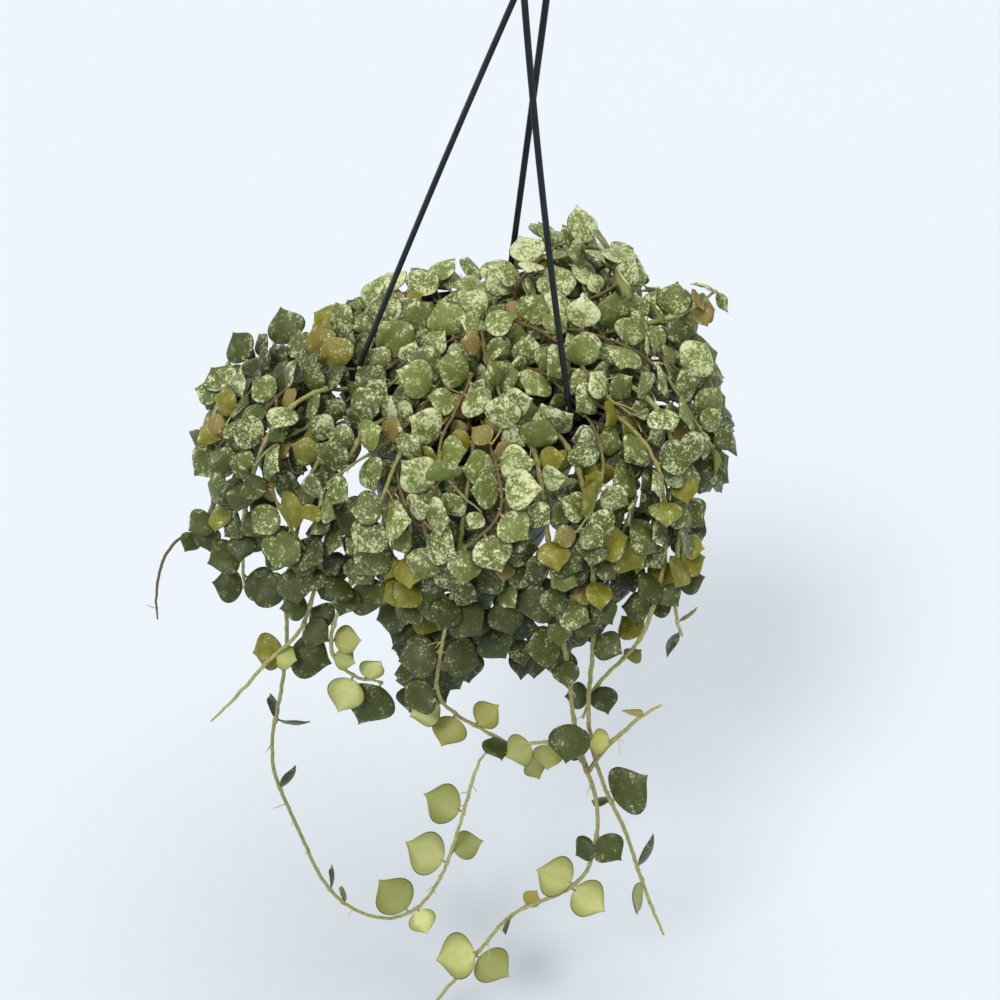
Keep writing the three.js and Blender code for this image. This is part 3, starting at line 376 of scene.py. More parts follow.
def merge_close(line):
    """Two rings at one pair of leaves become one point of the line."""
    merged = [line[0]]
    for p in line[1:]:
        if norm(p - merged[-1]) < PAIR_GAP:
            merged[-1] = (merged[-1] + p) / 2
        else:
            merged.append(p)
    return merged


def smooth(points):
    """An even, smooth line through the points."""
    p = np.array(points)
    if len(p) < 3:
        steps = max(2, int(norm(p[-1] - p[0]) / STEM_STEP))
        return np.array([p[0] + (p[-1] - p[0]) * k / steps for k in range(steps + 1)])
    chord = norm(np.diff(p, axis=0), axis=1)
    t = np.concatenate([[0], np.cumsum(chord)])
    slope = np.zeros_like(p)
    slope[1:-1] = (p[2:] - p[:-2]) / (t[2:] - t[:-2])[:, None]
    slope[0] = (p[1] - p[0]) / chord[0]
    slope[-1] = (p[-1] - p[-2]) / chord[-1]
    count = max(2, int(round(t[-1] / STEM_STEP)))
    places = np.linspace(0, t[-1], count + 1)
    k = np.clip(np.searchsorted(t, places, side="right") - 1, 0, len(p) - 2)
    h = chord[k]
    s = ((places - t[k]) / h)[:, None]
    h = h[:, None]
    return ((2 * s ** 3 - 3 * s ** 2 + 1) * p[k] + (s ** 3 - 2 * s ** 2 + s) * h * slope[k]
            + (3 * s ** 2 - 2 * s ** 3) * p[k + 1] + (s ** 3 - s ** 2) * h * slope[k + 1])


# Meshes are gathered as arrays, with what their material reads at each corner


def add_object(name, data):
    made = bpy.data.objects.new(name, data)
    bpy.context.scene.collection.objects.link(made)
    return made


def plain_object(name, points, faces, materials=()):
    """A smooth mesh object, from corners in mm."""
    data = bpy.data.meshes.new(name)
    data.from_pydata((np.asarray(points) * MM).tolist(), [], faces)
    for material in materials:
        data.materials.append(material)
    data.polygons.foreach_set("use_smooth", [True] * len(data.polygons))
    data.update()
    return add_object(name, data)


def bar_faces(rings, sides):
    """Faces of a closed bar of so many rings."""
    faces = []
    for k in range(rings - 1):
        for j in range(sides):
            i = (j + 1) % sides
            faces.append([k * sides + j, k * sides + i, (k + 1) * sides + i, (k + 1) * sides + j])
    faces.append(list(range(sides))[::-1])
    faces.append([(rings - 1) * sides + j for j in range(sides)])
    return faces


class Gathered:
    def __init__(self):
        self.points = []
        self.faces = []
        self.slots = []
        self.values = {"place": [], "look": [], "side": []}
        self.count = 0

    def add(self, points, faces, place, look, side, slot=0):
        """Corners in mm, faces, the three things that the materials read, and which material."""
        self.points.append(points)
        self.faces.extend([[k + self.count for k in face] for face in faces])
        self.slots.extend([slot] * len(faces))
        for key, value in (("place", place), ("look", look), ("side", side)):
            self.values[key].append(np.broadcast_to(value, (len(points), 3)))
        self.count += len(points)

    def mesh(self, name, materials):
        piece = plain_object(name, np.concatenate(self.points), self.faces, materials)
        for key, rows in self.values.items():
            attribute = piece.data.attributes.new(key, "FLOAT_VECTOR", "POINT")
            attribute.data.foreach_set("vector", np.concatenate(rows).astype(np.float32).ravel())
        piece.data.polygons.foreach_set("material_index", self.slots)
        piece.data.update()
        return piece


def tangents_of(line):
    tangents = np.gradient(line, axis=0)
    return tangents / norm(tangents, axis=1)[:, None]


def frames_along(line):
    """Two directions across the line at each of its points, carried without twist."""
    tangents = tangents_of(line)
    side = unit(np.cross(tangents[0], [0.31, 0.87, 0.38]))
    sides = []
    for t in tangents:
        side = unit(side - t * (side @ t))
        sides.append(side)
    sides = np.array(sides)
    return sides, np.cross(tangents, sides)


def tube(line, radii, sides):
    """Closed round tube along a line: corners and faces."""
    a, b = (direction[:, None, :] for direction in frames_along(line))
    angle = np.linspace(0, 2 * math.pi, sides, endpoint=False)
    ring = np.cos(angle)[None, :, None] * a + np.sin(angle)[None, :, None] * b
    points = (line[:, None, :] + ring * np.asarray(radii)[:, None, None]).reshape(-1, 3)
    return points, bar_faces(len(line), sides)


def leaf_template():
    """Faces of the leaf, upper and lower, over rows of columns that share the margin."""
    rows = len(OUTLINE)
    columns = LEAF_COLUMNS + 1
    upper = np.zeros((rows, columns), int)
    lower = np.zeros((rows, columns), int)
    count = 0
    for i in range(rows):
        if i in (0, rows - 1):
            upper[i] = lower[i] = count
            count += 1
            continue
        upper[i] = lower[i] = range(count, count + columns)
        count += columns
        lower[i, 1:-1] = range(count, count + columns - 2)
        count += columns - 2
    faces = []
    a, b = upper.tolist(), lower.tolist()
    for i in range(rows - 1):
        for j in range(columns - 1):
            for face in ([a[i][j], a[i + 1][j], a[i + 1][j + 1], a[i][j + 1]],
                         [b[i][j], b[i][j + 1], b[i + 1][j + 1], b[i + 1][j]]):
                short = [v for k, v in enumerate(face) if v != face[k - 1]]
                if len(short) > 2:
                    faces.append(short)
    return upper, lower, count, faces


UPPER_INDEX, LOWER_INDEX, LEAF_CORNERS, LEAF_FACES = leaf_template()
ROW_U = np.array([u for u, v in OUTLINE])
ROW_V = np.array([v for u, v in OUTLINE])
COLUMN_T = np.sin(np.linspace(-math.pi / 2, math.pi / 2, LEAF_COLUMNS + 1))


def leaf_shape(leaf):
    """The blade's corners in the leaf's own directions, in mm, and what its material reads there."""
    seed = leaf["seed"]
    length = leaf["length"]
    broad = 0.94 + 0.14 * draw(seed, 1)
    long_tip = 0.2 + 1.2 * draw(seed, 2)
    fold = 0.34 * (draw(seed, 11) - 0.35)
    dome = (0.7 + 0.9 * draw(seed, 3)) * length / 19
    droop = 0.10 + 0.28 * draw(seed, 4)
    cup = 0.30 * (draw(seed, 5) - 0.62)
    twist = 0.30 * (draw(seed, 6) - 0.5)
    wave = 0.055 * (draw(seed, 7) - 0.15)
    bend = 0.10 * (draw(seed, 8) - 0.5)
    u, t = np.meshgrid(ROW_U, COLUMN_T, indexing="ij")
    half = np.broadcast_to(ROW_V[:, None], u.shape) * broad
    near_tip = np.clip((u - 0.86) / 0.14, 0, 1)
    half *= (1 - 0.35 * near_tip * (1 - near_tip) * long_tip)
    body = np.clip((u - ROW_U[0]) / (1 - ROW_U[0]), 0, 1)
    swell = np.sin(math.pi * body) ** 0.6
    x = u * length
    y = t * half * length + bend * length * (body ** 2)
    height = dome * (1 - t ** 2) * swell
    height += cup * (t * half) ** 2 * 2 * length
    height -= droop * np.clip(u - 0.42, 0, 1) ** 2 * length
    height += twist * (u - 0.3) * t * half * length
    height += fold * (np.sqrt((t * half) ** 2 + 0.0036) - 0.06) * length * swell
    height += wave * length * np.sin(9 * u + 6 * draw(seed, 9) + 1.5 * np.sign(t)) * np.abs(t) ** 3
    height -= 0.10 * np.exp(-(t / 0.16) ** 2) * swell
    thick = 0.5 * LEAF_THICKNESS * min(1, length / SMALL_LEAF)
    thick *= np.sqrt(np.clip(1 - np.abs(t) ** 4, 0, 1)) * np.minimum(1, swell * 1.4)
    edge = np.maximum(np.abs(t) ** 3, near_tip)
    points, place, side = np.zeros((3, LEAF_CORNERS, 3))
    for index, sign in ((UPPER_INDEX, 1), (LOWER_INDEX, -1)):
        points[index] = np.stack([x, y, height + sign * thick], axis=-1)
        place[index] = np.stack([x, y, np.full_like(x, 40 * draw(seed, 10))], axis=-1)
        side[index] = np.stack([np.full_like(x, sign), edge, np.abs(t)], axis=-1)
    side[UPPER_INDEX[1:-1, [0, -1]]] = (0, 1, 1)
    return points, place, side


def add_leaf(gathered, leaf):
    points, place, side = leaf_shape(leaf)
    axes = np.array([leaf["along"], leaf["across"], leaf["normal"]])
    gathered.add(leaf["base"] + points @ axes, LEAF_FACES, place, leaf["look"], side)
    end_u = ROW_U[0] + PETIOLE_OVERLAP
    k = np.linspace(0, 1, 5)[:, None]
    bow = 0.02 * leaf["length"]
    line = leaf["base"] + leaf["along"] * end_u * leaf["length"] * k
    line = line - leaf["normal"] * bow * np.sin(math.pi * k)
    radii = np.interp(k[:, 0], [0, 0.5, 1], [0.95, 0.72, 0.55]) * min(1, leaf["length"] / SMALL_LEAF)
    points, faces = tube(line, radii, PETIOLE_SIDES)
    gathered.add(points, faces, points, (0.35, leaf["look"][1], 0.0), (0, 0, 0), 1)


# Choosing each leaf's look, and growing the leaves that fill the mound


def outline_half(u):
    return np.interp(u, ROW_U, ROW_V, left=0.0, right=0.0)


# Places in the picture where the photograph shows leaves of another colour:
# (x, y, radius in pixels, how warm, how flecked)
TINTS = (
    (612, 423, 16.12, 0.5, 0.0), (636, 435, 12.4, 0.5, 0.0), (558, 455, 17.36, 0.5, 0.0),
    (590, 485, 18.6, 0.42, 0.1), (613, 535, 14.88, 0.35, 0.0), (622, 556, 16.12, 0.4, 0.05),
    (668, 570, 13.64, 0.3, 0.0), (695, 560, 16.12, 0.35, 0.0), (462, 417, 13.64, 0.75, 0.1),
    (480, 438, 9.92, 0.95, 0.0), (326, 322, 12.4, 0.3, 0.1), (325, 352, 13.64, 0.7, 0.1),
    (345, 297, 12.4, 0.4, 0.0), (410, 290, 11.16, 0.4, 0.0), (698, 318, 14.88, 0.95, 0.0),
    (609, 733, 12.4, 0.95, 0.0), (636, 724, 8.68, 0.95, 0.0), (222, 515, 12.4, 0.25, 0.0),
    (207, 430, 9.92, 0.5, 0.0), (540, 548, 8.68, 0.2, 0.1), (384, 565, 8.68, 0.3, 0.0),
    (354, 642, 12.4, 0.25, 0.0), (455, 733, 14.88, 0.3, 0.0), (485, 715, 12.4, 0.3, 0.0),
)

# Broad parts of the mound, in the picture, where leaves carry painted shade (darker) or painted light
# (paler):
# (x, y, radius in pixels, change of tone)
PAINTED_LIGHT_AND_SHADE_AREAS = (
    (275, 320, 105, -0.26), (575, 270, 110, 0.26), (425, 470, 70, 0.16), (690, 450, 80, -0.18),
    (270, 540, 90, -0.14), (300, 410, 75, -0.2), (195, 440, 45, 0.2),
)


def set_shelter(leaves):
    """How many other leaves grow between each leaf and the open air: 0 none, 1 many; set_look darkens
    covered leaves with it as painted shade.
    """
    centres = np.array([middle(leaf) for leaf in leaves])
    for leaf, centre in zip(leaves, centres):
        outward = facing(centre)
        away = centres - centre
        above = away @ outward
        aside = norm(away - np.outer(above, outward), axis=1)
        over = (above > SHELTER_FROM) & (above < SHELTER_DEPTH)
        covers = np.clip(1.3 - aside[over] / SHELTER_RADIUS, 0, 1).sum()
        leaf["shelter"] = 1 - math.exp(-0.6 * covers)


def set_look(leaf, low):
    """How flecked, how light and how warm a leaf is, each from 0 to 1, with painted light and shade in the
    first two.
    """
    seed = leaf["seed"]
    centre = middle(leaf)
    x, y = in_picture(centre)
    height = centre[2] - RIM_CENTRE[2]
    # Painted light and shade by height: higher leaves get a lighter tone and more flecks, lower ones a
    # darker tone
    lit = min(1.0, max(0.0, (height - DARK_HEIGHT) / (LIT_HEIGHT - DARK_HEIGHT)))
    # Painted shade: leaves covered by others get fewer flecks and a darker tone; the random part of the tone
    # is the leaf's own
    flecks = (0.14 + 0.55 * lit) * (0.25 + 1.1 * draw(seed, 21)) * (1 - 0.4 * leaf["shelter"])
    tone = 0.16 + 0.62 * lit + 0.5 * (draw(seed, 22) - 0.5) - 0.72 * leaf["shelter"]
    # Painted light and shade over broad areas of the mound: tone and flecks raised or lowered
    for px, py, reach, change in PAINTED_LIGHT_AND_SHADE_AREAS:
        share = change * math.exp(-((x - px) ** 2 + (y - py) ** 2) / reach ** 2)
        tone += share
        flecks *= 1 + 1.2 * share
    tone = min(1.0, max(0.0, tone))
    warmth = 0.0
    if draw(seed, 23) > 1 - GOLD_SHARE:
        warmth = 0.15 + 0.3 * draw(seed, 24)
    if leaf["length"] < YOUNG_LENGTH and draw(seed, 25) > 1 - YOUNG_TAN_SHARE:
        warmth = 0.9
    if warmth:
        flecks = 0.2 * flecks
    for px, py, reach, warm, fleck in TINTS:
        if math.hypot(x - px, y - py) < reach and leaf["shelter"] < TINT_SHELTER:
            warmth = warm
            flecks = fleck
            tone = 0.7
    if low:
        flecks = 0.25 * flecks
        tone = 0.3 * tone + 0.18
        if leaf["normal"] @ CAMERA_AHEAD > 0:
            tone = 0.25 + 0.7 * draw(seed, 26)
    leaf["look"] = (flecks, tone, warmth)


def pot_radius(z):
    return POT_TOP_RADIUS + (POT_BASE_RADIUS - POT_TOP_RADIUS) * np.clip(-z / POT_HEIGHT, 0, 1)


def clear_of_pot(points):
    p = points - RIM_CENTRE
    radius = np.hypot(p[:, 0], p[:, 1])
    z = p[:, 2]
    wall = np.where(z > -RIM_SKIRT_DEPTH - 1, RIM_RADIUS, pot_radius(z))
    outside = radius > wall + POT_CLEARANCE
    within = (radius < pot_radius(z) - POT_WALL - POT_CLEARANCE) & (z > SOIL_TOP + SOIL_CLEARANCE)
    beyond = (z > POT_CLEARANCE) | (z < -POT_HEIGHT - POT_CLEARANCE)
    return bool(np.all(outside | within | beyond))


SAMPLE_GRID = np.meshgrid(np.linspace(0.14, 0.97, 8), np.linspace(-0.97, 0.97, 7), indexing="ij")
SAMPLE_U, SAMPLE_T = (grid.ravel() for grid in SAMPLE_GRID)
SAMPLE_V = SAMPLE_T * outline_half(SAMPLE_U)
SAMPLE_H = 1 - SAMPLE_T ** 2


def samples(leaf):
    """Points spread over a leaf, in mm."""
    length = leaf["length"]
    return (leaf["base"] + np.outer(SAMPLE_U * length, leaf["along"])
            + np.outer(SAMPLE_V * length, leaf["across"]) + np.outer(SAMPLE_H, leaf["normal"]))


def inside(leaf, points, grow):
    """Heights over the leaf's plane of those of the points that lie within its outline."""
    p = points - leaf["base"]
    u = p @ leaf["along"] / leaf["length"]
    v = np.abs(p @ leaf["across"]) / leaf["length"]
    within = (u > 0.11) & (u < 1.03) & (v < outline_half(np.clip(u, 0.11, 0.99)) + grow)
    return (p @ leaf["normal"])[within]


def leaves_cross(a, b):
    for one, other in ((a, b), (b, a)):
        heights = inside(one, other["samples"], 0.02)
        if len(heights) and heights.min() <= LEAF_CLEARANCE[1] and heights.max() >= LEAF_CLEARANCE[0]:
            return True
    return False


def any_within(heights, clearance):
    return ((heights > clearance[0]) & (heights < clearance[1])).any()


def facing(point):
    """The direction in which leaves at this point face."""
    p = point - RIM_CENTRE
    radius = max(1.0, math.hypot(p[0], p[1]))
    outward = min(FACING_MOST, radius / FACING_RADIUS) / radius
    return unit(np.array([p[0] * outward, p[1] * outward - FRONT_PULL, 1.0]))


def propose(line, index, side, seed, attempt):
    """A leaf that faces the light, at a stem's side or, for side 0, over it; each try turns it."""
    base = line[index]
    forward = unit(line[min(len(line) - 1, index + 2)] - line[max(0, index - 2)])
    light = facing(base)
    wander = [2 * draw(seed, k, attempt) - 1 for k in range(1, 8)]
    normal = unit(light + 0.6 * np.array(wander[:3]))
    sideways = unit(np.cross(light, forward))
    if side:
        splay = math.radians(SIDE_SPLAY + SPLAY_SPREAD * wander[3])
        along = sideways * side * math.sin(splay) + forward * math.cos(splay)
        along = along + light * (0.3 + 0.45 * wander[4])
    else:
        heading = 1 if wander[5] > -0.4 else -1
        along = forward * heading + sideways * 0.5 * wander[3] + light * (0.62 + 0.25 * wander[4])
    along = along - np.array([0, 0, LEAF_SINK])
    along = unit(along - normal * (along @ normal))
    if along @ light <= 0.3 and abs(along @ forward) >= 0.86:
        return None
    across = np.cross(normal, along)
    length = EXTRA_LENGTH * (0.82 + 0.26 * draw(seed, 8)) * (1 - 0.016 * attempt)
    return {"base": base, "along": along, "normal": normal, "across": across, "length": length}


def arm_line(azimuth, bow, steps):
    """The middle of an arm, from its clip to the head."""
    low = polar(azimuth, CLIP_RADIUS, 2)
    high = polar(azimuth + HEAD_TWIST, HEAD_ATTACH_RADIUS, 0) + HEAD
    control = (low + high) / 2 + polar(azimuth, 2 * bow, 0)
    t = np.linspace(0, 1, steps + 1)[:, None]
    return (1 - t) ** 2 * low + 2 * t * (1 - t) * control + t ** 2 * high


def grow_extra(vines):
    """Leaves at the nodes between those that the solids have, wherever there is room."""
    everything = [leaf for vine in vines for leaf in vine["leaves"]]
    for leaf in everything:
        leaf["samples"] = samples(leaf)
    centres = [middle(leaf) for leaf in everything]
    stem_points = np.concatenate([line for vine in vines for line in vine["lines"]])
    arms = np.concatenate([arm_line(*arm, 150) for arm in zip(CLIP_AZIMUTHS, ARM_BOWS)]) + RIM_CENTRE
    low = np.array(cad_box[0]) / MM + 1
    high = np.array(cad_box[1]) / MM - 1
    wanted = []
    for number, vine in enumerate(vines):
        line = vine["lines"][0]
        for step, index in enumerate(range(len(line) - 2, EXTRA_FIRST, -EXTRA_STEP)):
            if vine["trailing"] and line[index][2] < RIM_CENTRE[2] + EXTRA_LOWEST:
                continue
            for side in (-1, 0, 1):
                seed = 5000 + 311 * number + 3 * step + side
                wanted.append((draw(seed, 31), seed, number, index, side))
    wanted.sort()
    for unused, seed, number, index, side in wanted:
        line = vines[number]["lines"][0]
        best = None
        for attempt in range(EXTRA_TRIES):
            leaf = propose(line, index, side, seed, attempt)
            if leaf is None:
                continue
            centre = middle(leaf)
            away = norm(np.array(centres) - centre, axis=1)
            room = away.min()
            if room < EXTRA_SPACING or (best and room <= best[0]):
                continue
            x, y = in_picture(centre)
            if any(math.hypot(x - px, y - py) < reach for px, py, reach in HOLES):
                continue
            spread = leaf["samples"] = samples(leaf)
            if (spread < low).any() or (spread > high).any() or not clear_of_pot(spread):
                continue
            near_stems = stem_points[norm(stem_points - centre, axis=1) < leaf["length"]]
            if any_within(inside(leaf, near_stems, 0.05), STEM_CLEARANCE):
                continue
            if any_within(inside(leaf, arms, 0.14), ARM_CLEARANCE):
                continue
            if any(leaves_cross(leaf, everything[k]) for k in np.nonzero(away < LEAF_REACH)[0]):
                continue
            best = (room, leaf, centre)
        if best:
            leaf = best[1]
            leaf["seed"] = seed
            vines[number]["leaves"].append(leaf)
            everything.append(leaf)
            centres.append(best[2])


# Stems, aerial roots and the young tips


def add_stem(gathered, line, seed, stout, ages, nodes):
    total = STEM_STEP * (len(line) - 1)
    s = np.linspace(0, total, len(line))
    radii = np.full(len(line), STEM_RADIUS * stout * (0.95 + 0.2 * draw(seed, 41)))
    for base in nodes:
        away = norm(line - base, axis=1)
        radii += NODE_SWELL * np.exp(-(away / NODE_REACH) ** 2)
    radii = radii * np.interp(s, [0, 12, total - 30, total], [1.25, 1.0, 0.95, 0.55])
    wobble = np.array([noise.noise_vector(Vector((k * 0.35, seed * 0.7, 3.1))) for k in range(len(line))])
    fade = np.interp(s, [0, 20, total - 4, total], [0, 1, 1, 0.3])[:, None]
    wavy = line + STEM_WOBBLE * wobble * fade
    points, faces = tube(wavy, radii, STEM_SIDES)
    age = np.repeat(np.interp(s, [0, total * 0.6, total], ages), STEM_SIDES)
    look = np.stack([age, np.full(len(points), draw(seed, 42)), np.zeros(len(points))], axis=1)
    gathered.add(points, faces, points, look, (0, 0, 0), 1)
    return wavy


def add_root(gathered, start, direction, length, seed):
    k = np.linspace(0, 1, 6)[:, None]
    curl = np.array([draw(seed, 51) - 0.5, draw(seed, 52) - 0.5, draw(seed, 53) - 0.7])
    line = start + direction * length * k + curl * length * 0.6 * k ** 2
    radii = np.interp(k[:, 0], [0, 0.8, 1], [0.36, 0.26, 0.14])
    points, faces = tube(line, radii, ROOT_SIDES)
    gathered.add(points, faces, points, (0.0, draw(seed, 54), 1.0), (0, 0, 0), 1)


def add_roots(gathered, line, seed, share):
    for index in range(ROOT_FIRST, len(line) - 2, ROOT_STEP):
        if draw(seed, index, 61) > share:
            continue
        wander = np.array([draw(seed, index, k) - 0.5 for k in (62, 63, 64)])
        outward = unit(facing(line[index]) + 0.9 * wander * 2)
        forward = unit(line[index + 1] - line[index - 1])
        outward = unit(outward - forward * (outward @ forward) * 0.7)
        for twin in range(1 + (draw(seed, index, 65) > 1 - TWIN_ROOT_SHARE)):
            length = ROOT_SHORTEST + ROOT_GROWTH * draw(seed, index, 66 + twin) ** 2
            direction = unit(outward + 0.5 * twin * forward)
            add_root(gathered, line[index], direction, length, seed + index + 0.3 * twin)


# The pot, the hanger and the soil


def rounded(profile, radius, steps=4):
    """The closed outline with each corner off the axis rounded."""
    out = []
    count = len(profile)
    for k, corner in enumerate(profile):
        p = np.array(corner, float)
        before = np.array(profile[k - 1], float)
        after = np.array(profile[(k + 1) % count], float)
        if p[0] < 1e-6:
            out.append(tuple(p))
            continue
        a = p + (before - p) * min(0.45, radius / norm(before - p))
        b = p + (after - p) * min(0.45, radius / norm(after - p))
        for j in range(steps + 1):
            t = j / steps
            out.append(tuple((1 - t) ** 2 * a + 2 * t * (1 - t) * p + t ** 2 * b))
    return out


def lathe(profile, segments, centre=(0.0, 0.0, 0.0)):
    """Closed body of revolution: corners and faces."""
    points = []
    starts = []
    for r, z in profile:
        starts.append((len(points), r < 1e-6))
        for k in range(1 if r < 1e-6 else segments):
            a = 2 * math.pi * k / segments
            points.append((r * math.cos(a), r * math.sin(a), z))
    faces = []
    for i in range(len(profile)):
        (a, a_axis), (b, b_axis) = starts[i], starts[(i + 1) % len(profile)]
        if a_axis and b_axis:
            continue
        for k in range(segments):
            n = (k + 1) % segments
            if a_axis:
                faces.append([a, b + n, b + k])
            elif b_axis:
                faces.append([a + k, a + n, b])
            else:
                faces.append([a + k, a + n, b + n, b + k])
    return np.array(points) + np.array(centre), faces


def box_at(azimuth, radius, depth, width, low, high, bevel):
    """Box with rounded edges that faces a compass angle: corners and faces."""
    made = bmesh.new()
    bmesh.ops.create_cube(made, size=1)
    bmesh.ops.scale(made, vec=(depth, width, high - low), verts=made.verts)
    bmesh.ops.translate(made, vec=(radius, 0, (low + high) / 2), verts=made.verts)
    if bevel:
        bmesh.ops.bevel(made, geom=list(made.edges), offset=bevel, segments=3, affect="EDGES", profile=0.5)
    turn = Matrix.Rotation(math.radians(azimuth), 3, "Z")
    bmesh.ops.rotate(made, cent=(0, 0, 0), matrix=turn, verts=made.verts)
    made.verts.index_update()
    points = np.array([tuple(v.co) for v in made.verts])
    faces = [[v.index for v in f.verts] for f in made.faces]
    made.free()
    return points, faces


def cut(target, cutters):
    for cutter in cutters:
        modifier = target.modifiers.new("cut", "BOOLEAN")
        modifier.operation = "DIFFERENCE"
        modifier.solver = "EXACT"
        modifier.object = cutter
    bpy.context.view_layer.update()
    graph = bpy.context.evaluated_depsgraph_get()
    data = bpy.data.meshes.new_from_object(target.evaluated_get(graph))
    target.modifiers.clear()
    target.data = data
    for cutter in cutters:
        bpy.data.objects.remove(cutter)


def make_pot(material):
    base = -POT_HEIGHT
    floor = base + POT_FLOOR
    under = -RIM_THICKNESS
    skirt = -RIM_SKIRT_DEPTH
    skirt_radius = RIM_RADIUS - POT_WALL

    def outer(z, less=0.0):
        return float(pot_radius(z)) - less

    profile = [
        (0, base + 0.9), (34, base + 0.9), (35.5, base), (POT_BASE_RADIUS, base),
        (outer(-92), -92), (outer(-92, 0.35), -90.5), (outer(-80, 0.35), -80), (outer(-79), -78.5),
        (outer(skirt - 6), skirt - 6), (outer(under), under), (skirt_radius, under), (skirt_radius, skirt),
        (RIM_RADIUS, skirt), (RIM_RADIUS, 0), (outer(0, POT_WALL), 0), (outer(-14, POT_WALL), -14),
        (outer(-14.6, POT_WALL), -15), (outer(floor, POT_WALL), floor), (0, floor),
    ]
    points, faces = lathe(rounded(profile, 0.55), 144)
    pot = plain_object("pot_moulded", points + RIM_CENTRE, faces, [material])
    cutters = []
    for k in range(DRAIN_HOLE_COUNT):
        place = polar(360 / DRAIN_HOLE_COUNT * k, DRAIN_HOLE_CIRCLE, 0)
        hole = [(0, base - 2), (DRAIN_HOLE_RADIUS, base - 2), (DRAIN_HOLE_RADIUS, floor + 2), (0, floor + 2)]
        points, faces = lathe(hole, 32, place)
        cutters.append(plain_object(f"drain_{k}", points + RIM_CENTRE, faces))
    for k, azimuth in enumerate(CLIP_AZIMUTHS):
        depth, width = ARM_THICKNESS + 2 * SLOT_PLAY, ARM_WIDTH + 2 * SLOT_PLAY
        points, faces = box_at(azimuth, CLIP_RADIUS, depth, width, under - 2, 2, 0)
        cutters.append(plain_object(f"slot_{k}", points + RIM_CENTRE, faces))
    cut(pot, cutters)
    pot.data.set_sharp_from_angle(angle=math.radians(32))
    return pot


def sweep(line, section, across):
    """Closed bar with a section of (across, out) points, whose side stays near the direction given."""
    points = []
    for p, t in zip(line, tangents_of(line)):
        side = unit(across - t * (across @ t))
        out = np.cross(t, side)
        points.extend(p + a * side + b * out for a, b in section)
    return np.array(points), bar_faces(len(line), len(section))


def make_hanger(material):
    parts = []
    half_width = ARM_WIDTH / 2
    half_thick = ARM_THICKNESS / 2
    section = [
        (-half_width, -0.5), (-half_width, 0.5), (-1.2, 1.05), (-0.75, half_thick), (-0.35, 0.98),
        (0.35, 0.98), (0.75, half_thick), (1.2, 1.05), (half_width, 0.5), (half_width, -0.5),
        (1.2, -1.05), (0.75, -half_thick), (-0.75, -half_thick), (-1.2, -1.05),
    ]
    under = -RIM_THICKNESS
    # Each clip: its block on the rim, the neck in the slot and the head below it
    clip = (
        (5, 8, GAP, 4, 0.7),
        (ARM_THICKNESS, ARM_WIDTH, under - 2.8, 1, 0.3),
        (ARM_THICKNESS, ARM_WIDTH + 2.4, under - 3, under - GAP, 0.4),
    )
    for azimuth, bow in zip(CLIP_AZIMUTHS, ARM_BOWS):
        parts.append(sweep(arm_line(azimuth, bow, 28), section, polar(azimuth + 90, 1, 0)))
        parts.extend(box_at(azimuth, CLIP_RADIUS, *box) for box in clip)
    hub = [(0, -HUB_BELOW), (HUB_RADIUS, -HUB_BELOW), (HUB_RADIUS, 2), (HUB_RADIUS - 4.5, 2.6),
           (HOOK_WIRE_RADIUS + 1.5, HUB_HEIGHT), (0, HUB_HEIGHT)]
    points, faces = lathe(rounded(hub, 0.9), 64)
    parts.append((points + HEAD, faces))
    top = HUB_HEIGHT + HOOK_RISE
    bend = HOOK_BEND_RADIUS
    route = [np.array([0, 0, 0.0]), np.array([0, 0, HUB_HEIGHT + bend / 2]),
             np.array([bend * 0.75, 0, HUB_HEIGHT + bend * 1.25])]
    for angle in range(-15, 201, 35):
        a = math.radians(angle)
        route.append(np.array([bend * math.cos(a), 0, top - bend + bend * math.sin(a)]))
    line = catmull_line(route, 9)
    radii = np.full(len(line), HOOK_WIRE_RADIUS)
    radii[-4:] = HOOK_WIRE_RADIUS * np.array([1.0, 0.94, 0.8, 0.5])
    points, faces = tube(line, radii, 18)
    parts.append((points + HEAD, faces))
    whole = []
    all_faces = []
    for points, faces in parts:
        start = sum(len(p) for p in whole)
        whole.append(points)
        all_faces.extend([[v + start for v in face] for face in faces])
    hanger = plain_object("hanger_moulded", np.concatenate(whole) + RIM_CENTRE, all_faces, [material])
    hanger.data.set_sharp_from_angle(angle=math.radians(38))
    return hanger


def catmull_line(points, steps):
    p = [2 * points[0] - points[1]] + list(points) + [2 * points[-1] - points[-2]]
    line = []
    for k in range(1, len(p) - 2):
        for j in range(steps):
            t = j / steps
            line.append(0.5 * (2 * p[k] + (p[k + 1] - p[k - 1]) * t
                               + (2 * p[k - 1] - 5 * p[k] + 4 * p[k + 1] - p[k + 2]) * t ** 2
                               + (3 * p[k] - p[k - 1] - 3 * p[k + 1] + p[k + 2]) * t ** 3))
    line.append(p[-2])
    return np.array(line)


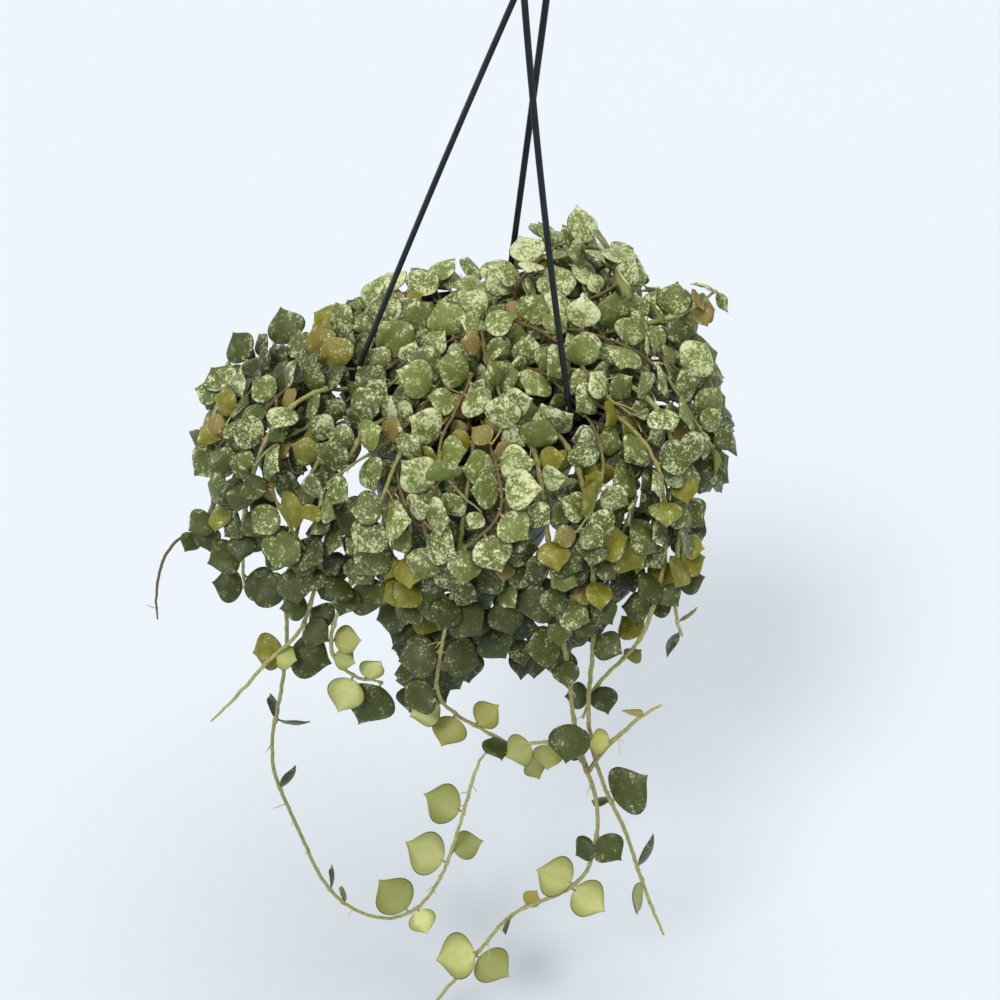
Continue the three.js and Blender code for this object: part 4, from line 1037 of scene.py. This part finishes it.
def make_soil(material):
    """Crumbly potting mix: a displaced disc down to the pot's floor."""
    rings = 46
    spokes = 150
    angles = [2 * math.pi * j / spokes for j in range(spokes)]
    edge = pot_radius(SOIL_TOP) - POT_WALL - GAP - 0.2
    points = [(0, 0, SOIL_TOP + 0.5)]
    for i in range(1, rings + 1):
        r = edge * i / rings
        for a in angles:
            x = r * math.cos(a)
            y = r * math.sin(a)
            rough = noise.fractal(Vector((x, y, 5.0)) * 0.22, 0.6, 2.1, 4) * 1.5
            rough += abs(noise.noise(Vector((x, y, 1.0)) * 0.55)) * 1.6
            drop = 3.2 * max(0.0, (r - edge + 9) / 9) ** 2
            points.append((x, y, SOIL_TOP - 0.9 + rough - drop))
    faces = [[0, 1 + j, 1 + (j + 1) % spokes] for j in range(spokes)]
    for i in range(rings - 1):
        for j in range(spokes):
            a = 1 + i * spokes + j
            b = 1 + i * spokes + (j + 1) % spokes
            faces.append([a, a + spokes, b + spokes, b])
    low = -POT_HEIGHT + POT_FLOOR + GAP
    r = pot_radius(low) - POT_WALL - GAP - 0.2
    start = len(points)
    points.extend((r * math.cos(a), r * math.sin(a), low) for a in angles)
    top = 1 + (rings - 1) * spokes
    for j in range(spokes):
        n = (j + 1) % spokes
        faces.append([top + j, start + j, start + n, top + n])
    faces.append([start + j for j in range(spokes)][::-1])
    return plain_object("soil_mix", np.array(points) + RIM_CENTRE, faces, [material])


# Materials

FLOOR_COLOUR = (0.665, 0.71, 0.768, 1.0)


class Shader:
    """The nodes of a material or a world, with short ways to add and join them."""

    def __init__(self, owner, surface="Principled BSDF"):
        owner.use_nodes = True
        self.owner = owner
        self.tree = owner.node_tree
        self.surface = self.tree.nodes[surface]

    def feed(self, socket, value):
        if isinstance(value, bpy.types.NodeSocket):
            self.tree.links.new(value, socket)
        else:
            socket.default_value = value

    def node(self, kind, inputs=None, **settings):
        made = self.tree.nodes.new(kind)
        for key, value in settings.items():
            setattr(made, key, value)
        for key, value in (inputs or {}).items():
            self.feed(made.inputs[key], value)
        return made

    def attribute(self, name):
        return self.node("ShaderNodeAttribute", attribute_name=name).outputs["Vector"]

    def split(self, vector):
        return self.node("ShaderNodeSeparateXYZ", {"Vector": vector}).outputs

    def maths(self, operation, a, b=0.0):
        return self.node("ShaderNodeMath", {0: a, 1: b}, operation=operation).outputs[0]

    def between(self, value, low, high, to_low=0.0, to_high=1.0):
        inputs = {"Value": value, "From Min": low, "From Max": high, "To Min": to_low, "To Max": to_high}
        return self.node("ShaderNodeMapRange", inputs, interpolation_type="SMOOTHSTEP").outputs[0]

    def mix(self, share, a, b):
        made = self.node("ShaderNodeMix", data_type="RGBA")
        self.feed(made.inputs[0], share)
        self.feed(made.inputs[6], a)
        self.feed(made.inputs[7], b)
        return made.outputs[2]

    def noise(self, vector, scale, detail=2.0, roughness=0.5):
        inputs = {"Vector": vector, "Scale": scale, "Detail": detail, "Roughness": roughness}
        return self.node("ShaderNodeTexNoise", inputs).outputs[0]

    def objects(self):
        return self.node("ShaderNodeTexCoord").outputs["Object"]

    def bump(self, height, strength, distance):
        inputs = {"Height": height, "Strength": strength, "Distance": distance}
        return self.node("ShaderNodeBump", inputs).outputs[0]

    def finish(self, **sockets):
        for key, value in sockets.items():
            self.feed(self.surface.inputs[key.replace("_", " ")], value)
        return self.owner


def rgba(r, g, b):
    """Linear colour from the 0 to 255 numbers of a picture."""
    def linear(c):
        c /= 255
        return c / 12.92 if c <= 0.04045 else ((c + 0.055) / 1.055) ** 2.4
    return (linear(r), linear(g), linear(b), 1.0)


def leaf_material():
    s = Shader(bpy.data.materials.new("hoya_leaf"))
    place = s.attribute("place")
    flecks, tone, warmth = s.split(s.attribute("look"))
    side, edge, out = s.split(s.attribute("side"))
    broad = s.noise(place, 0.16, 2.0)
    fine = s.noise(place, 0.63, 4.0, 0.66)
    dots = s.noise(place, 1.35, 2.0, 0.6)
    # Green, from shaded to lit, and the gold and tan of some leaves
    green = s.mix(tone, rgba(38, 46, 16), rgba(109, 120, 55))
    patch = s.between(broad, 0.35, 0.68)
    green = s.mix(s.maths("MULTIPLY", patch, 0.4), green, s.mix(tone, rgba(58, 66, 24), rgba(134, 144, 78)))
    gold = s.mix(s.between(broad, 0.3, 0.7), rgba(108, 106, 20), rgba(138, 132, 40))
    tan = s.mix(s.between(fine, 0.35, 0.6), rgba(136, 108, 62), rgba(122, 116, 54))
    warm = s.mix(s.between(warmth, 0.55, 0.85), gold, tan)
    base = s.mix(s.between(warmth, 0.05, 0.35), green, warm)
    # Flecks gather towards the margin, and leave the middle plain
    gather = s.maths("MULTIPLY", out, 0.085)
    level = s.maths("SUBTRACT", 0.69, s.maths("MULTIPLY", flecks, 0.2))
    level = s.maths("SUBTRACT", level, gather)
    level = s.maths("SUBTRACT", level, s.maths("MULTIPLY", s.maths("SUBTRACT", broad, 0.5), 0.5))
    large = s.between(fine, level, s.maths("ADD", level, 0.07))
    small = s.between(dots, s.maths("ADD", level, 0.01), s.maths("ADD", level, 0.08))
    pale = s.maths("MAXIMUM", large, s.maths("MULTIPLY", small, 0.75))
    top = s.between(side, 0.02, 0.3)
    pale = s.maths("MULTIPLY", pale, top)
    haze = s.maths("MULTIPLY", s.between(fine, s.maths("SUBTRACT", level, 0.13), level), 0.3)
    base = s.mix(s.maths("MULTIPLY", haze, top), base, s.mix(tone, rgba(84, 94, 44), rgba(150, 160, 98)))
    fleck_colour = s.mix(s.noise(place, 0.3), rgba(188, 196, 138), rgba(226, 231, 186))
    upper = s.mix(s.maths("MULTIPLY", pale, s.between(tone, 0.0, 0.6, 0.4, 0.92)), base, fleck_colour)
    # The underside is smooth and paler
    under = s.mix(tone, rgba(100, 106, 42), rgba(224, 228, 150))
    under = s.mix(s.maths("MULTIPLY", patch, 0.25), under, rgba(158, 164, 78))
    under = s.mix(s.between(out, 0.3, 1.0, 0.0, 0.72), under, rgba(126, 132, 54))
    under = s.mix(s.between(warmth, 0.1, 0.5, 0.0, 0.8), under, rgba(160, 144, 56))
    colour = s.mix(s.between(side, -0.15, 0.02), under, upper)
    margin = s.between(edge, 0.76, 1.0, 0.0, 0.85)
    colour = s.mix(margin, colour, rgba(46, 44, 20))
    height = s.maths("ADD", s.noise(place, 1.1, 3.0), s.maths("MULTIPLY", pale, 0.25))
    rough = s.between(s.noise(place, 0.8), 0.3, 0.7, 0.36, 0.52)
    return s.finish(Base_Color=colour, Roughness=rough, Normal=s.bump(height, 0.35, 0.0004),
                    Specular_IOR_Level=0.3)


def stem_material():
    s = Shader(bpy.data.materials.new("hoya_stem"))
    place = s.attribute("place")
    age, tone, root = s.split(s.attribute("look"))
    grain = s.noise(place, 0.7, 3.0, 0.65)
    young = s.mix(tone, rgba(190, 196, 122), rgba(182, 178, 112))
    old = s.mix(tone, rgba(74, 62, 34), rgba(98, 80, 48))
    colour = s.mix(age, young, old)
    colour = s.mix(s.between(grain, 0.42, 0.62, 0.0, 0.42), colour, rgba(84, 68, 44))
    colour = s.mix(root, colour, s.mix(tone, rgba(206, 188, 142), rgba(176, 150, 104)))
    return s.finish(Base_Color=colour, Roughness=s.between(grain, 0.3, 0.7, 0.5, 0.75),
                    Normal=s.bump(grain, 0.5, 0.0004), Specular_IOR_Level=0.3)


def plastic_material(name, colour, worn, scale):
    s = Shader(bpy.data.materials.new(name))
    place = s.objects()
    grain = s.noise(place, 900.0, 3.0, 0.6)
    dust = s.between(s.noise(place, scale, 4.0, 0.6), 0.46, 0.72)
    shade = s.mix(s.maths("MULTIPLY", dust, 0.35), colour, worn)
    rough = s.between(s.noise(place, 160.0, 3.0), 0.3, 0.7, 0.36, 0.52)
    return s.finish(Base_Color=shade, Roughness=rough, Normal=s.bump(grain, 0.25, 0.0001),
                    Specular_IOR_Level=0.14)


def soil_material():
    s = Shader(bpy.data.materials.new("potting_mix"))
    place = s.objects()
    crumbs = s.noise(place, 260.0, 5.0, 0.7)
    lumps = s.noise(place, 90.0, 3.0, 0.6)
    earth = s.mix(s.between(lumps, 0.35, 0.65), rgba(40, 30, 22), rgba(74, 56, 40))
    earth = s.mix(s.between(crumbs, 0.55, 0.68), earth, rgba(98, 76, 52))
    cells = s.node("ShaderNodeTexVoronoi", {"Vector": place, "Scale": 240.0})
    grit = s.between(cells.outputs["Distance"], 0.16, 0.1)
    grit = s.maths("MULTIPLY", grit, s.between(s.noise(place, 60.0), 0.56, 0.6))
    colour = s.mix(grit, earth, rgba(206, 202, 190))
    return s.finish(Base_Color=colour, Roughness=0.95, Normal=s.bump(crumbs, 0.9, 0.0012))


def floor_material():
    s = Shader(bpy.data.materials.new("studio_floor"))
    tint = s.noise(s.objects(), 1.4, 2.0)
    colour = s.mix(tint, FLOOR_COLOUR, tuple(0.985 * c for c in FLOOR_COLOUR[:3]) + (1.0,))
    return s.finish(Base_Color=colour, Roughness=0.9)


# Putting it together

LEAF = leaf_material()
STEM = stem_material()
BLACK = plastic_material("black_moulded_plastic", rgba(10, 11, 12), rgba(28, 27, 24), 70.0)
GREY = plastic_material("grey_moulded_plastic", rgba(33, 38, 42), rgba(52, 55, 57), 55.0)
SOIL = soil_material()

vines = []
for number, name in enumerate(sorted(n for n in frame["nodes"] if n.startswith("vine_"))):
    leaves, lines = read_vine(name)
    for k, leaf in enumerate(leaves):
        leaf["seed"] = 300 * (number + 1) + k
    vines.append({"name": name, "leaves": leaves, "lines": lines, "trailing": "trailing" in name})

grow_extra(vines)
set_shelter([leaf for vine in vines for leaf in vine["leaves"]])

for number, vine in enumerate(vines):
    grown = Gathered()
    seed = 17.0 + number
    nodes = [leaf["base"] for leaf in vine["leaves"]]
    kind = "tendril" if "tendril" in vine["name"] else "trailing" if vine["trailing"] else "mound"
    stout, root_share, ages = STEM_KINDS[kind]
    for k, line in enumerate(vine["lines"]):
        wavy = add_stem(grown, line, seed + 0.37 * k, stout, ages, nodes)
        add_roots(grown, wavy, seed + 0.37 * k, root_share)
    for leaf in vine["leaves"]:
        set_look(leaf, vine["trailing"] and leaf["base"][2] < RIM_CENTRE[2] + LOW_LEAF)
        add_leaf(grown, leaf)
    piece = grown.mesh(vine["name"] + "_grown", [LEAF, STEM])
    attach(piece, "root")
    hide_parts(vine["name"])

for made, node, slot in (
    (make_pot(BLACK), "pot", "black_plastic"),
    (make_hanger(GREY), "hanger", "grey_plastic"),
    (make_soil(SOIL), "soil", "potting_soil"),
):
    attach(made, "root")
    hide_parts(node)

# Floor, lights, camera and the pale surroundings

FLOOR_BELOW = 0.012
WORLD_COLOUR = (0.93, 0.97, 1.0, 1.0)
WORLD_FADE = (0.1, 0.7, 0.92, 0.26)
FLOOR_SIZE = 300.0
VIEW_END = 400


def make_floor():
    data = bpy.data.meshes.new("studio_floor")
    h = FLOOR_SIZE / 2
    z = cad_box[0][2] - FLOOR_BELOW
    data.from_pydata([(-h, -h, z), (h, -h, z), (h, h, z), (-h, h, z)], [], [(0, 1, 2, 3)])
    data.materials.append(floor_material())
    floor = add_object("studio_floor", data)


def make_light(name, source, spread, power, colour):
    """Even soft light from the direction of source, which covers so many degrees of the sky."""
    lamp = bpy.data.lights.new(name, "SUN")
    lamp.angle = math.radians(spread)
    lamp.energy = power
    lamp.color = colour
    holder = add_object(name, lamp)
    holder.location = source
    holder.rotation_euler = (-Vector(source)).to_track_quat("-Z", "Y").to_euler()


def make_world():
    """Pale all round at the horizon, and dimmer overhead."""
    s = Shader(bpy.data.worlds.new("studio"), "Background")
    rise = s.split(s.node("ShaderNodeTexCoord").outputs["Generated"])["Z"]
    bpy.context.scene.world = s.finish(Color=WORLD_COLOUR, Strength=s.between(rise, *WORLD_FADE))


def make_camera():
    data = bpy.data.cameras.new("camera")
    data.sensor_width = SENSOR_WIDTH
    data.lens = CAMERA_FOCAL * SENSOR_WIDTH / IMAGE_SIZE
    data.clip_end = VIEW_END
    camera = add_object("camera", data)
    right = Vector(CAMERA_RIGHT).normalized()
    up = Vector(CAMERA_UP)
    back = right.cross(up).normalized()
    up = back.cross(right)
    turn = Matrix((right, up, back)).transposed()
    camera.matrix_world = Matrix.Translation(Vector(CAMERA_PLACE) * MM) @ turn.to_4x4()
    bpy.context.scene.camera = camera


make_floor()
make_light("top", (0.02, 0.12, 0.93), 52, 1.92, (1.0, 0.99, 0.965))
make_light("key", (-0.34, -0.50, 0.76), 16, 1.35, (1.0, 0.985, 0.955))
make_camera()
make_world()
bpy.context.scene.view_settings.view_transform = "Standard"
